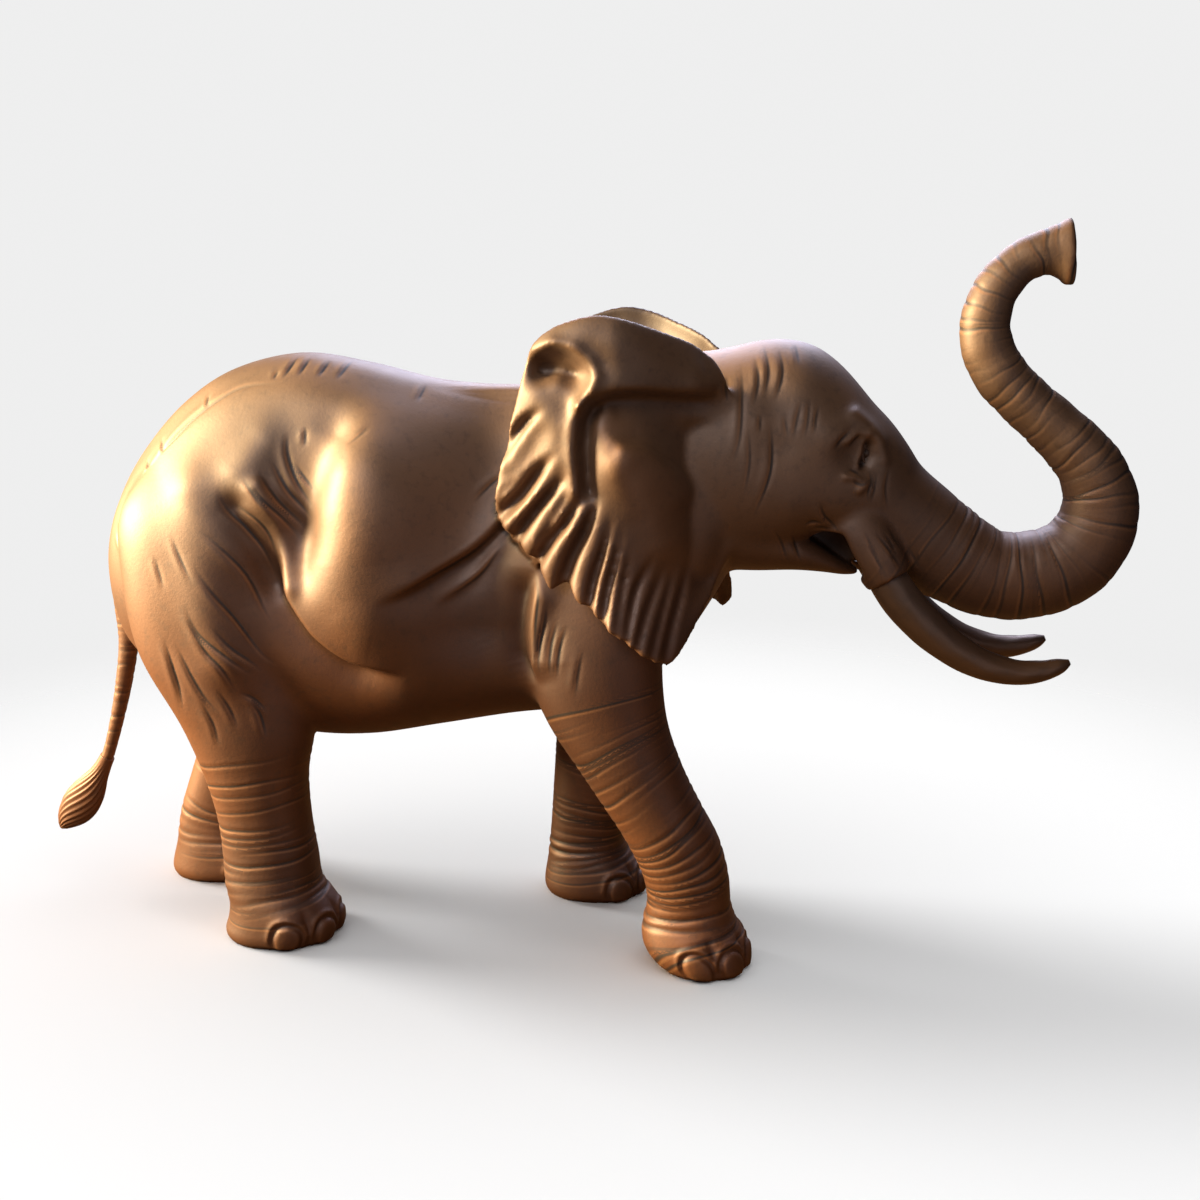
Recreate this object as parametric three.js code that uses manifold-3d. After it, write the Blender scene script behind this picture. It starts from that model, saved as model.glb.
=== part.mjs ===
// A bronze elephant striding with its trunk raised in an S, about 2.8 m long and 1.8 m high.
// The animal is one casting. Its two tusks are smooth separate castings set in sockets in the upper lip.
// Units are millimetres. +X is forward, +Y is the elephant's left, +Z is up, and the soles stand on z = 0.
// Stations are measured from a plumb line through the shoulders, and the group is centred at the end.
import * as THREE from "three";
import { mergeVertices } from "three/addons/utils/BufferGeometryUtils.js";
import Module from "manifold-3d";

const wasm = await Module();
wasm.setup();

// Driving dimensions
const CENTRE_X = -106; // middle of the overall length, from the shoulder plumb line
const SOCKET_GAP = 0.4; // clearance round a tusk root in its socket
const SPINE_RIDGE = 12; // height of the ridge along the back
const TRUNK_LENGTH = 2450; // from the neck to the tip, along the middle of the trunk
const TRUNK_RING_PITCH = 79; // between two rings of skin on the trunk
const TRUNK_RING_DEPTH = 3.5;
const LEG_RING_PITCH = 92; // between two folds round a lower leg
const LEG_RING_DEPTH = 3;
const EAR_RIM_THICKNESS = 16;
const EAR_ROOT_THICKNESS = 120; // that much more at the hub than at the rim
const EAR_FLUTES = 9; // between the back corner of the ear and its hanging tip
const EAR_FLUTE_DEPTH = 13;
const FAR_EAR_SWING = 105; // the left ear's hanging tip is that much further forward
const LEFT_TUSK_SETBACK = 18; // the left tusk sits that much further back
const NAIL_ANGLES = [-62, -20, 20, 62]; // degrees from straight ahead, round the front of a foot

const BRONZE = { color: 0x6b4a33, roughness: 0.38, metalness: 0.9 };
const DARK_BRONZE = { color: 0x463a31, roughness: 0.34, metalness: 0.9 };

const RIGHT_SIDE = -1;
const LEFT_SIDE = 1;
const AHEAD = new THREE.Vector3(1, 0, 0);
const DOWN = new THREE.Vector3(0, 0, -1);

const rad = THREE.MathUtils.degToRad;
const smooth = (x, low, high) => THREE.MathUtils.smoothstep(x, low, high);
const signedPower = (x, p) => Math.sign(x) * Math.abs(x) ** p;
const mirrored = (stations, setback = 0) => stations.map(([x, y, ...rest]) => [x - setback, -y, ...rest]);

// Catmull-Rom through rows of equal length, from t = 0 at the first row to t = 1 at the last.
function along(rows, t) {
  const s = Math.min(Math.max(t, 0), 1) * (rows.length - 1);
  const i = Math.min(Math.floor(s), rows.length - 2);
  const f = s - i;
  const row = (k) => rows[Math.min(Math.max(k, 0), rows.length - 1)];
  return rows[0].map((_, c) => {
    const [a, b, d, e] = [row(i - 1)[c], row(i)[c], row(i + 1)[c], row(i + 2)[c]];
    return b + 0.5 * f * (d - a + f * (2 * a - 5 * b + 4 * d - e + f * (3 * (b - d) + e - a)));
  });
}

// Distance from a point to a polyline, both seen from the side.
function distanceTo(path, x, z) {
  let least = Infinity;
  for (let i = 0; i + 1 < path.length; i++) {
    const [[ax, az], [bx, bz]] = [path[i], path[i + 1]];
    const share = ((x - ax) * (bx - ax) + (z - az) * (bz - az)) / ((bx - ax) ** 2 + (bz - az) ** 2);
    const f = Math.min(Math.max(share, 0), 1);
    least = Math.min(least, Math.hypot(x - ax - f * (bx - ax), z - az - f * (bz - az)));
  }
  return least;
}

// Strokes of a modelling tool, seen from the side: [height, half width, path]. A groove's height is negative.
function strokes(list, x, z) {
  let relief = 0;
  for (const [height, width, path] of list) {
    relief += height * Math.exp(-((distanceTo(path, x, z) / width) ** 2));
  }
  return relief;
}

// A closed geometry from rings of points. It has a fan over each end, and each quad is split on its shorter
// diagonal.
function tube(grid) {
  const sides = grid[0].length;
  const points = grid.flat();
  const index = [];
  for (let i = 0; i + 1 < grid.length; i++) {
    for (let j = 0; j < sides; j++) {
      const [a, b] = [i * sides + j, i * sides + ((j + 1) % sides)];
      const [c, d] = [a + sides, b + sides];
      const rising = points[a].distanceTo(points[d]) < points[b].distanceTo(points[c]);
      index.push(...(rising ? [a, d, b, a, c, d] : [a, c, b, b, c, d]));
    }
  }
  for (const [start, atEnd] of [[0, false], [(grid.length - 1) * sides, true]]) {
    const middle = new THREE.Vector3();
    for (let j = 0; j < sides; j++) middle.addScaledVector(points[start + j], 1 / sides);
    points.push(middle);
    for (let j = 0; j < sides; j++) {
      const [a, b] = [start + j, start + ((j + 1) % sides)];
      index.push(...(atEnd ? [points.length - 1, b, a] : [points.length - 1, a, b]));
    }
  }
  return new THREE.BufferGeometry().setFromPoints(points).setIndex(index);
}

// A loft through stations [x, y, z, up, down, side]. Each ring is an ellipse in the plane across the path,
// or across a fixed direction. The relief function adds millimetres outwards at (t, angle, point).
function loft(stations, { rings, sides, facing, roundness = 2, relief = () => 0 }) {
  const lateral = new THREE.Vector3(0, 1, 0);
  const power = 2 / roundness;
  const grid = [];
  for (let i = 0; i <= rings; i++) {
    const t = i / rings;
    const [x, y, z, up, down, side] = along(stations, t);
    const ahead = along(stations, t + 0.004);
    const behind = along(stations, t - 0.004);
    const path = new THREE.Vector3(...[0, 1, 2].map((c) => ahead[c] - behind[c]));
    const forward = (facing ?? path).clone().normalize();
    const across = lateral.clone().addScaledVector(forward, -lateral.dot(forward)).normalize();
    const upward = forward.clone().cross(across);
    const ring = [];
    for (let j = 0; j < sides; j++) {
      const angle = (2 * Math.PI * j) / sides;
      const c = signedPower(Math.cos(angle), power);
      const s = signedPower(Math.sin(angle), power);
      const out = upward.clone().multiplyScalar(c * (c > 0 ? up : down)).addScaledVector(across, s * side);
      const point = new THREE.Vector3(x, y, z).add(out);
      ring.push(point.addScaledVector(out.normalize(), relief(t, angle, point)));
    }
    grid.push(ring);
  }
  return tube(grid);
}

// The geometry as a closed solid that can be joined and cut.
function solid(geometry) {
  const bare = new THREE.BufferGeometry().setAttribute("position", geometry.getAttribute("position"));
  const merged = mergeVertices(bare.setIndex(geometry.index), 1e-3);
  const vertProperties = new Float32Array(merged.getAttribute("position").array);
  const triVerts = new Uint32Array(merged.index.array);
  return new wasm.Manifold(new wasm.Mesh({ numProp: 3, vertProperties, triVerts }));
}

function namedMesh(name, body, look) {
  const { vertProperties, triVerts } = body.getMesh();
  const geometry = new THREE.BufferGeometry()
    .setAttribute("position", new THREE.BufferAttribute(vertProperties, 3))
    .setIndex(new THREE.BufferAttribute(triVerts, 1));
  geometry.computeVertexNormals();
  const mesh = new THREE.Mesh(geometry, new THREE.MeshStandardMaterial(look));
  mesh.name = name;
  return mesh;
}

// Barrel of the body: rump, belly, chest and neck, as upright sections [x, y, z, up, down, side]
const TORSO = [
  [-1288, 0, 930, 25, 40, 18],
  [-1270, 0, 925, 100, 130, 70],
  [-1232, 0, 925, 195, 215, 125],
  [-1160, 0, 920, 308, 270, 182],
  [-1050, 0, 910, 433, 318, 230],
  [-920, 0, 895, 529, 362, 262],
  [-750, 0, 880, 583, 383, 288],
  [-580, 0, 870, 571, 370, 305],
  [-400, 0, 868, 532, 333, 312],
  [-220, 0, 875, 514, 305, 302],
  [-60, 0, 890, 512, 298, 280],
  [80, 0, 930, 500, 300, 255],
  [190, 0, 1010, 450, 275, 232],
  [280, 0, 1100, 375, 230, 203],
  [350, 0, 1180, 270, 180, 165],
];

// Forms of the flank, alike on both sides
const FLANK_STROKES = [
  [-40, 90, [[-735, 1290], [-690, 1190], [-680, 1080]]], // hollow in front of the hip
  [-26, 80, [[-745, 1080], [-735, 950], [-680, 860], [-570, 760]]], // crease between thigh and belly
  [26, 130, [[-560, 1180], [-500, 1100]]], // swell of the ribs
  [34, 76, [[-190, 1110], [-262, 1010], [-400, 925]]], // roll of skin behind the ear
  [-26, 76, [[-190, 1310], [-262, 1220], [-340, 1120]]], // valley behind the shoulder
  [18, 110, [[-1010, 1130], [-960, 1000]]], // hip
];

function torso() {
  const relief = (t, angle, { x, z }) => {
    const ridge = SPINE_RIDGE * Math.exp(-(((Math.cos(angle) - 1) / 0.045) ** 2));
    return ridge + smooth(Math.abs(Math.sin(angle)), 0.35, 0.8) * strokes(FLANK_STROKES, x, z);
  };
  return loft(TORSO, { rings: 37, sides: 28, facing: AHEAD, roundness: 2.15, relief });
}

// Skull, forehead and the whole trunk, as sections across one path [x, y, z, up, down, side]
const HEAD_AND_TRUNK = [
  [150, 0, 1210, 275, 265, 212],
  [330, 0, 1222, 273, 262, 208],
  [470, 0, 1225, 282, 240, 196],
  [590, 0, 1190, 185, 175, 168],
  [690, 0, 1115, 140, 150, 132],
  [775, 0, 1056, 127, 126, 112],
  [865, 0, 999, 115, 117, 103],
  [950, 0, 957, 107, 108, 97],
  [1040, 0, 952, 107, 107, 94],
  [1132, 0, 983, 103, 103, 91],
  [1190, 0, 1050, 96, 96, 86],
  [1206, 0, 1135, 88, 88, 80],
  [1172, 0, 1225, 76, 76, 72],
  [1092, 0, 1308, 67, 67, 65],
  [1012, 0, 1377, 63, 63, 61],
  [949, 0, 1444, 63, 63, 59],
  [915, 0, 1520, 60, 60, 56],
  [917, 0, 1590, 56, 56, 53],
  [943, 0, 1650, 52, 52, 49],
  [987, 0, 1695, 49, 49, 46],
  [1033, 0, 1716, 52, 52, 46],
  [1066, 0, 1721, 60, 64, 48],
  [1088, 0, 1722, 72, 79, 51],
  [1102, 0, 1723, 74, 83, 50],
];

// Forms of the face, alike on both sides
const FACE_STROKES = [
  [-20, 42, [[612, 1262], [640, 1250]]], // eye socket
  [12, 34, [[560, 1300], [610, 1325], [660, 1300]]], // brow
  [-12, 50, [[420, 1400], [440, 1290]]], // temple
  [14, 70, [[480, 1130], [560, 1110]]], // cheek
];

function headAndTrunk() {
  const relief = (t, angle, { x, z }) => {
    const fade = smooth(t, 0.24, 0.32) * (1 - smooth(t, 0.89, 0.93));
    const rings = fade * TRUNK_RING_DEPTH * Math.cos((2 * Math.PI * t * TRUNK_LENGTH) / TRUNK_RING_PITCH);
    return rings + smooth(Math.abs(Math.sin(angle)), 0.35, 0.8) * strokes(FACE_STROKES, x, z);
  };
  return loft(HEAD_AND_TRUNK, { rings: 62, sides: 13, roundness: 2.1, relief });
}

// Lower jaw, from the cheeks to the pointed lip
const JAW = [
  [330, 0, 1075, 60, 128, 168],
  [420, 0, 1042, 60, 96, 150],
  [500, 0, 1010, 52, 58, 118],
  [560, 0, 984, 32, 34, 84],
  [606, 0, 964, 17, 19, 54],
  [640, 0, 953, 6, 7, 24],
];

// The open mouth: an outline seen from the side, cut in from each cheek as far as the tongue
const MOUTH = [
  [518, 1052], [566, 1004], [606, 976], [652, 956], [640, 988], [614, 1024], [590, 1062], [560, 1082],
];
const TONGUE_HALF_WIDTH = 48;
const CHEEK_HALF_WIDTH = 210;

function mouth(side) {
  const outline = new THREE.Shape(MOUTH.map(([x, z]) => new THREE.Vector2(x, z)));
  const depth = CHEEK_HALF_WIDTH - TONGUE_HALF_WIDTH;
  const cut = new THREE.ExtrudeGeometry(outline, { depth, bevelEnabled: false, steps: 1 }).rotateX(rad(90));
  return cut.translate(0, side === LEFT_SIDE ? CHEEK_HALF_WIDTH : -TONGUE_HALF_WIDTH, 0);
}

// A leg runs down from inside the body to a flat sole: level sections [x, y, z, fore, aft, side]
const LEGS = {
  rightHind: [
    [-990, -92, 1250, 90, 90, 60],
    [-1000, -140, 1100, 170, 182, 110],
    [-985, -162, 930, 210, 196, 128],
    [-945, -172, 740, 215, 202, 130],
    [-885, -180, 560, 178, 160, 120],
    [-860, -182, 430, 132, 133, 108],
    [-844, -184, 310, 119, 118, 102],
    [-832, -186, 205, 121, 121, 105],
    [-828, -188, 140, 124, 122, 112],
    [-815, -190, 95, 140, 124, 120],
    [-806, -190, 50, 148, 138, 128],
    [-808, -190, 20, 147, 146, 130],
    [-811, -190, 0, 138, 138, 122],
  ],
  leftHind: [
    [-1000, 92, 1250, 90, 90, 60],
    [-1000, 140, 1100, 170, 165, 110],
    [-985, 162, 930, 205, 170, 128],
    [-950, 172, 740, 205, 158, 130],
    [-955, 178, 560, 172, 142, 120],
    [-1006, 180, 430, 132, 130, 108],
    [-1060, 182, 310, 117, 118, 102],
    [-1098, 184, 205, 115, 117, 104],
    [-1110, 184, 140, 120, 120, 110],
    [-1110, 184, 95, 134, 126, 120],
    [-1106, 184, 50, 146, 142, 128],
    [-1108, 184, 20, 146, 146, 130],
    [-1110, 184, 0, 138, 138, 122],
  ],
  rightFront: [
    [15, -110, 1200, 120, 120, 80],
    [12, -150, 1040, 165, 160, 112],
    [8, -180, 880, 172, 158, 122],
    [8, -198, 740, 168, 166, 120],
    [42, -205, 610, 148, 148, 112],
    [97, -209, 500, 129, 130, 106],
    [155, -212, 400, 120, 121, 101],
    [203, -214, 318, 116, 116, 98],
    [238, -216, 227, 107, 106, 95],
    [249, -217, 150, 104, 104, 95],
    [252, -222, 100, 118, 118, 108],
    [262, -228, 56, 130, 126, 118],
    [276, -234, 22, 120, 118, 116],
    [290, -238, 0, 102, 104, 104],
  ],
  leftFront: [
    [15, 110, 1200, 120, 120, 80],
    [10, 150, 1040, 160, 160, 112],
    [5, 172, 880, 165, 158, 122],
    [0, 182, 740, 158, 160, 120],
    [-4, 184, 610, 146, 146, 112],
    [-10, 182, 500, 130, 130, 106],
    [-22, 180, 400, 121, 121, 101],
    [-36, 178, 300, 113, 113, 98],
    [-50, 176, 215, 104, 104, 95],
    [-55, 174, 150, 102, 104, 95],
    [-48, 173, 100, 118, 116, 106],
    [-38, 172, 50, 138, 134, 117],
    [-36, 172, 20, 138, 138, 119],
    [-36, 172, 0, 128, 130, 111],
  ],
};
const FOOT_YAW = { rightHind: -8, leftHind: 8, rightFront: -24, leftFront: 8 }; // degrees that the toes turn

function leg(stations) {
  const relief = (t, angle, { z }) => {
    const fade = smooth(z, 105, 140) * (1 - smooth(z, 480, 620));
    return fade * LEG_RING_DEPTH * Math.cos((2 * Math.PI * z) / LEG_RING_PITCH);
  };
  return loft(stations, { rings: 19, sides: 12, facing: DOWN, roundness: 2.2, relief });
}

// Toenails as low domes standing out of the front of the foot, clear of the ground
function toenails(stations, yaw) {
  const [x, y, , fore, , side] = stations.at(-2);
  return NAIL_ANGLES.map((degrees) => {
    const angle = rad(degrees + yaw);
    const nail = new THREE.SphereGeometry(1, 6, 3).scale(16, 33, 34).rotateZ(angle);
    return nail.translate(x + Math.cos(angle) * (fore - 6), y + Math.sin(angle) * (side - 4), 34.5);
  });
}

// The tail hangs from the rump and ends in a flat leaf-shaped tuft.
const TAIL = [
  [-1235, 0, 1000, 60, 40, 34],
  [-1262, 0, 860, 34, 34, 30],
  [-1264, 0, 720, 27, 27, 25],
  [-1286, 0, 600, 23, 23, 22],
  [-1318, 0, 480, 19, 19, 18],
  [-1350, 0, 385, 18, 18, 17],
  [-1378, 0, 335, 24, 24, 17],
  [-1412, 0, 282, 42, 42, 19],
  [-1445, 0, 238, 46, 46, 19],
  [-1478, 0, 200, 30, 30, 14],
  [-1500, 0, 172, 5, 5, 5],
];

// The lip sleeve that holds a tusk, and the tusk, both on the right side and mirrored for the left
const SLEEVE = [
  [560, -60, 1160, 60, 60, 50],
  [618, -92, 1090, 80, 80, 66],
  [672, -113, 1018, 66, 68, 62],
  [708, -122, 958, 55, 55, 55],
];
const TUSK = [
  [690, -120, 985, 40, 40, 40],
  [708, -121, 955, 47, 47, 46],
  [745, -122, 903, 48, 48, 46],
  [800, -123, 846, 46, 46, 44],
  [862, -124, 797, 42, 42, 41],
  [934, -124, 759, 37, 37, 37],
  [1010, -122, 741, 31, 31, 32],
  [1072, -119, 744, 26, 26, 27],
  [1118, -116, 758, 18, 18, 19],
  [1140, -114, 768, 7, 7, 7],
];
const sleeve = (stations) => loft(stations, { rings: 5, sides: 10 });
const tusk = (stations) => loft(stations, { rings: 11, sides: 8 });

// A tusk grown by the gap cuts the socket that its root sits in.
const grownTusk = TUSK.map(([x, y, z, ...radii], i) => {
  const back = i === 0 ? SOCKET_GAP : 0;
  return [x - back, y, z + back, ...radii.map((r) => r + SOCKET_GAP)];
});

// Outline of the right ear seen from the side, [x, z]. The fluted stretch runs from the back corner, down to
// the hanging tip, and the plain stretch on from there up the front, inside the head, and round the top.
const EAR_FLUTED = [
  [-196, 1245], [-217, 1152], [-186, 1070], [-100, 980], [-20, 920], [60, 858], [124, 800], [191, 771],
];
const EAR_PLAIN = [
  [191, 771], [254, 846], [312, 970], [345, 1100], [345, 1300], [318, 1455], [243, 1510], [166, 1560],
  [50, 1583], [-62, 1560], [-130, 1496], [-162, 1365], [-196, 1245],
];
const EAR_HUB = [70, 1290];
const EAR_SAMPLES_PER_FLUTE = 3;
const EAR_PLAIN_SAMPLES = 20;

// Forms of the ear
const EAR_STROKES = [
  [40, 62, [[290, 1475], [217, 1478], [139, 1500], [40, 1515]]], // roll along the top
  [-46, 38, [[15, 1385], [60, 1398], [162, 1405], [215, 1395]]], // slot under the roll
  [-30, 34, [[-100, 1462], [-51, 1466], [0, 1457]]], // pocket at the top of the back edge
  [14, 30, [[-40, 1400], [-40, 1305], [-25, 1214]]], // crest of the fluted part
  [-18, 30, [[10, 1360], [5, 1305], [12, 1214]]], // valley in front of that crest
  [24, 110, [[130, 1290], [165, 1172], [188, 1080]]], // smooth middle
  [-20, 50, [[304, 1345], [304, 1214], [318, 1029]]], // valley where the ear meets the head
];

// How far the sheet of the ear stands out from the middle of the animal
function earReach(x, z) {
  const lift = 125 + 0.05 * (1300 - z);
  const clearOfTheLeg = 75 * (1 - smooth(z, 770, 1000));
  return 182 + smooth(330 - x, 0, 330) * lift + clearOfTheLeg;
}

function earOutline() {
  const fluted = EAR_FLUTES * EAR_SAMPLES_PER_FLUTE;
  const points = [];
  for (let i = 0; i < fluted; i++) {
    const flute = Math.cos((2 * Math.PI * (i + 1.5)) / EAR_SAMPLES_PER_FLUTE) * Math.min(1, (i + 1) / 3);
    points.push([...along(EAR_FLUTED, i / fluted), flute]);
  }
  for (let i = 0; i < EAR_PLAIN_SAMPLES; i++) points.push([...along(EAR_PLAIN, i / EAR_PLAIN_SAMPLES), 0]);
  return points;
}

// The ear is a closed shell: its rings run from the hub out to the rim on the outer face, and back on the
// inner one.
function ear(side, swing) {
  const outline = earOutline();
  const place = ([rimX, rimZ, flute], f, standOff) => {
    const [x, z] = [EAR_HUB[0] + f * (rimX - EAR_HUB[0]), EAR_HUB[1] + f * (rimZ - EAR_HUB[1])];
    const fluting = EAR_FLUTE_DEPTH * flute * smooth(f, 0.45, 0.9);
    const forward = swing * (1 - smooth(z, 771, 1000));
    return new THREE.Vector3(x + forward, side * (earReach(x, z) + fluting + standOff(f, x, z)), z);
  };
  const carved = (f, x, z) => strokes(EAR_STROKES, x, z) * (1 - 0.7 * smooth(f, 0.85, 1));
  const plain = (f) => -EAR_RIM_THICKNESS - EAR_ROOT_THICKNESS * (1 - f);
  const outerFace = [0.2, 0.42, 0.62, 0.82, 1].map((f) => outline.map((p) => place(p, f, carved)));
  const innerFace = [1, 0.45].map((f) => outline.map((p) => place(p, f, plain)));
  const geometry = tube([...outerFace, ...innerFace]);
  if (side === LEFT_SIDE) geometry.index.array.reverse();
  return geometry;
}

// Eyeball in its lids, standing a little out of the socket
function eye(side) {
  const lids = new THREE.SphereGeometry(1, 8, 5).scale(26, 16, 17).rotateY(rad(38));
  return lids.translate(626, 148 * side, 1256);
}

const bothSides = (stations, shape) => [shape(stations), shape(mirrored(stations, LEFT_TUSK_SETBACK))];

const castPieces = [
  torso(),
  headAndTrunk(),
  loft(JAW, { rings: 8, sides: 10 }),
  ...bothSides(SLEEVE, sleeve),
  ear(RIGHT_SIDE, 0),
  ear(LEFT_SIDE, FAR_EAR_SWING),
  eye(RIGHT_SIDE),
  eye(LEFT_SIDE),
  loft(TAIL, { rings: 18, sides: 6 }),
  ...Object.values(LEGS).map(leg),
  ...Object.entries(LEGS).flatMap(([name, stations]) => toenails(stations, FOOT_YAW[name])),
];

const cuts = [mouth(RIGHT_SIDE), mouth(LEFT_SIDE), ...bothSides(grownTusk, tusk)].map(solid);
const joined = castPieces.map(solid).reduce((whole, piece) => whole.add(piece));
const cast = cuts.reduce((whole, cut) => whole.subtract(cut), joined);
const [rightTusk, leftTusk] = bothSides(TUSK, tusk).map(solid);

const elephant = new THREE.Group();
elephant.add(namedMesh("elephant", cast, BRONZE));
elephant.add(namedMesh("right_tusk", rightTusk, DARK_BRONZE));
elephant.add(namedMesh("left_tusk", leftTusk, DARK_BRONZE));
elephant.position.x = -CENTRE_X;

export default elephant;
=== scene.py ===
"""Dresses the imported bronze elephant: one fused skin with its folds, rings and nails, the eyes, the tuft of
the tail, two smooth tusks, their bronze, a pale studio floor, soft light and the camera.

Shapes are worked out in millimetres from a plumb line through the shoulders (+X forward, +Y the elephant's
left, +Z up, soles at z = 0) and moved to the part's own frame in metres when a mesh is made.
"""

import math

import bpy
import numpy as np
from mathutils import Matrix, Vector


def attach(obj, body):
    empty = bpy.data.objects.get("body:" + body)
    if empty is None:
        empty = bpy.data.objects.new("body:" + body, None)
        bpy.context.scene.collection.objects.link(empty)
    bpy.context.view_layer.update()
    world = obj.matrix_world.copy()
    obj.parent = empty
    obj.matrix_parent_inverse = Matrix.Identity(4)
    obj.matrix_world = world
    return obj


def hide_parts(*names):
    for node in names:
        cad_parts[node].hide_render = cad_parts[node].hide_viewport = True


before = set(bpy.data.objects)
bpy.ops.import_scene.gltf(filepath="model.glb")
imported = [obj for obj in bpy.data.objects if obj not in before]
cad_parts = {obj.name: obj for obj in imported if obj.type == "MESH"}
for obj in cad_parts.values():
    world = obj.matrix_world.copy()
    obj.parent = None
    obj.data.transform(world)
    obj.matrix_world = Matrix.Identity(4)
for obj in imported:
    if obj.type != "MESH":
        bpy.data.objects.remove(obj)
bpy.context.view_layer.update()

# Measures and small tools

MM = 0.001
CENTRE_X = -106  # middle of the overall length, from the shoulder plumb line
VOXEL = 5  # edge length of the fused skin
FOLD_DEPTH = 0.6  # millimetres for each step of depth in the lists of folds
FOLD_WIDTH = 0.8  # and for each step of their half width
EDGE_WIDTH = 9  # half width of the turn at a ledge
NO_LINE = 99.0  # distance given to a point that no fold line is near
rng = np.random.default_rng(7)


def to_part_frame(points):
    """Millimetres from the plumb line, as metres in the part's own frame."""
    return (np.asarray(points, float) - (CENTRE_X, 0, 0)) * MM


def smooth(x, low, high):
    """A soft step from 0 at low to 1 at high."""
    f = np.clip((x - low) / (high - low), 0, 1)
    return f * f * (3 - 2 * f)


def between(x, low, full, ending, high):
    """A soft rise from 0 at low to 1 at full, and a soft fall from 1 at ending to 0 at high."""
    return smooth(x, low, full) * (1 - smooth(x, ending, high))


def bell(x, width):
    """1 where x is 0, and less the further x is from it, over about that width."""
    return np.exp(-((x / width) ** 2))


def unit(v):
    return v / np.maximum(np.linalg.norm(v, axis=-1, keepdims=True), 1e-9)


def along(rows, t):
    """Catmull-Rom through rows of equal length, from t = 0 at the first row to t = 1 at the last."""
    rows = np.asarray(rows, float)
    s = np.clip(t, 0, 1) * (len(rows) - 1)
    i = np.minimum(s.astype(int), len(rows) - 2)
    f = (s - i)[:, None]
    a, b, d, e = (rows[np.clip(i + k, 0, len(rows) - 1)] for k in (-1, 0, 1, 2))
    return b + 0.5 * f * (d - a + f * (2 * a - 5 * b + 4 * d - e + f * (3 * (b - d) + e - a)))


def curve(corners):
    """A smooth path through some corners."""
    return along(corners, np.linspace(0, 1, 4 * len(corners)))


def path_distance(path, x, z):
    """For points seen from the side: distance to a path of straight steps, how far along it the nearest place
    lies, 0 to 1, and the side of it: 1 to the left of the path's direction, -1 to the right."""
    path = np.asarray(path, float)
    steps = np.linalg.norm(np.diff(path, axis=0), axis=1)
    before = np.concatenate([[0], np.cumsum(steps)])
    least = np.full(len(x), np.inf)
    place = np.zeros(len(x))
    side = np.ones(len(x))
    for k, ((ax, az), (bx, bz)) in enumerate(zip(path[:-1], path[1:])):
        f = np.clip(((x - ax) * (bx - ax) + (z - az) * (bz - az)) / steps[k] ** 2, 0, 1)
        d = np.hypot(x - ax - f * (bx - ax), z - az - f * (bz - az))
        nearer = d < least
        least[nearer] = d[nearer]
        place[nearer] = ((before[k] + f * steps[k]) / before[-1])[nearer]
        turn = (bx - ax) * (z - az) - (bz - az) * (x - ax)
        side[nearer] = np.where(turn > 0, 1, -1)[nearer]
    return least, place, side


def inside(outline, x, z):
    """Which points lie inside a closed outline seen from the side."""
    odd = np.zeros(len(x), bool)
    for (ax, az), (bx, bz) in zip(outline, outline[1:] + outline[:1]):
        if az == bz:
            continue
        crossed = ((az > z) != (bz > z)) & (x < ax + (z - az) / (bz - az) * (bx - ax))
        odd ^= crossed
    return odd


def strokes(marks, x, z):
    """Broad forms: sum of (height, half width, path), each a soft bump or hollow along its path."""
    total = np.zeros(len(x))
    for height, width, path in marks:
        d, _, _ = path_distance(path, x, z)
        total += height * bell(d, width)
    return total


def ledges(marks, x, z):
    """Edges: sum of (height, reach above, reach below, path). The skin stands up on the left of the path,
    starts low on its right, and comes back to its own level over those reaches."""
    total = np.zeros(len(x))
    for height, above, below, corners in marks:
        d, place, side = path_distance(curve(corners), x, z)
        ends = between(place, 0, 0.25, 0.75, 1)
        reach = np.where(side > 0, above, below)
        total += height * ends * side * np.tanh(d / EDGE_WIDTH) * bell(d, reach)
    return total


def flutes(marks, x, z):
    """Grooves of the ear: sum of (depth, half width, path), each pointed at its start, widening towards the
    rim and flanked by ridges."""
    total = np.zeros(len(x))
    for depth, width, corners in marks:
        d, place, _ = path_distance(curve(corners), x, z)
        wide = width * (0.55 + 0.6 * place)
        groove = bell(d, wide) - 0.42 * bell(d, 2.3 * wide)
        total -= depth * groove * smooth(place, 0, 0.4)
    return total


class Lines:
    """The nearest fold line to each point of the skin: distance across it, plain distance and strength, for
    the painted shade line along it and the painted highlight beside it.
    """

    def __init__(self, count):
        self.across = np.full(count, NO_LINE)
        self.away = np.full(count, NO_LINE)
        self.strength = np.zeros(count)

    def add(self, index, across, strength):
        closer = (np.abs(across) < self.away[index]) & (strength > 0.02)
        index = index[closer]
        self.across[index] = across[closer]
        self.away[index] = np.abs(across[closer])
        self.strength[index] = np.clip(strength[closer], 0, 1)


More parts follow.
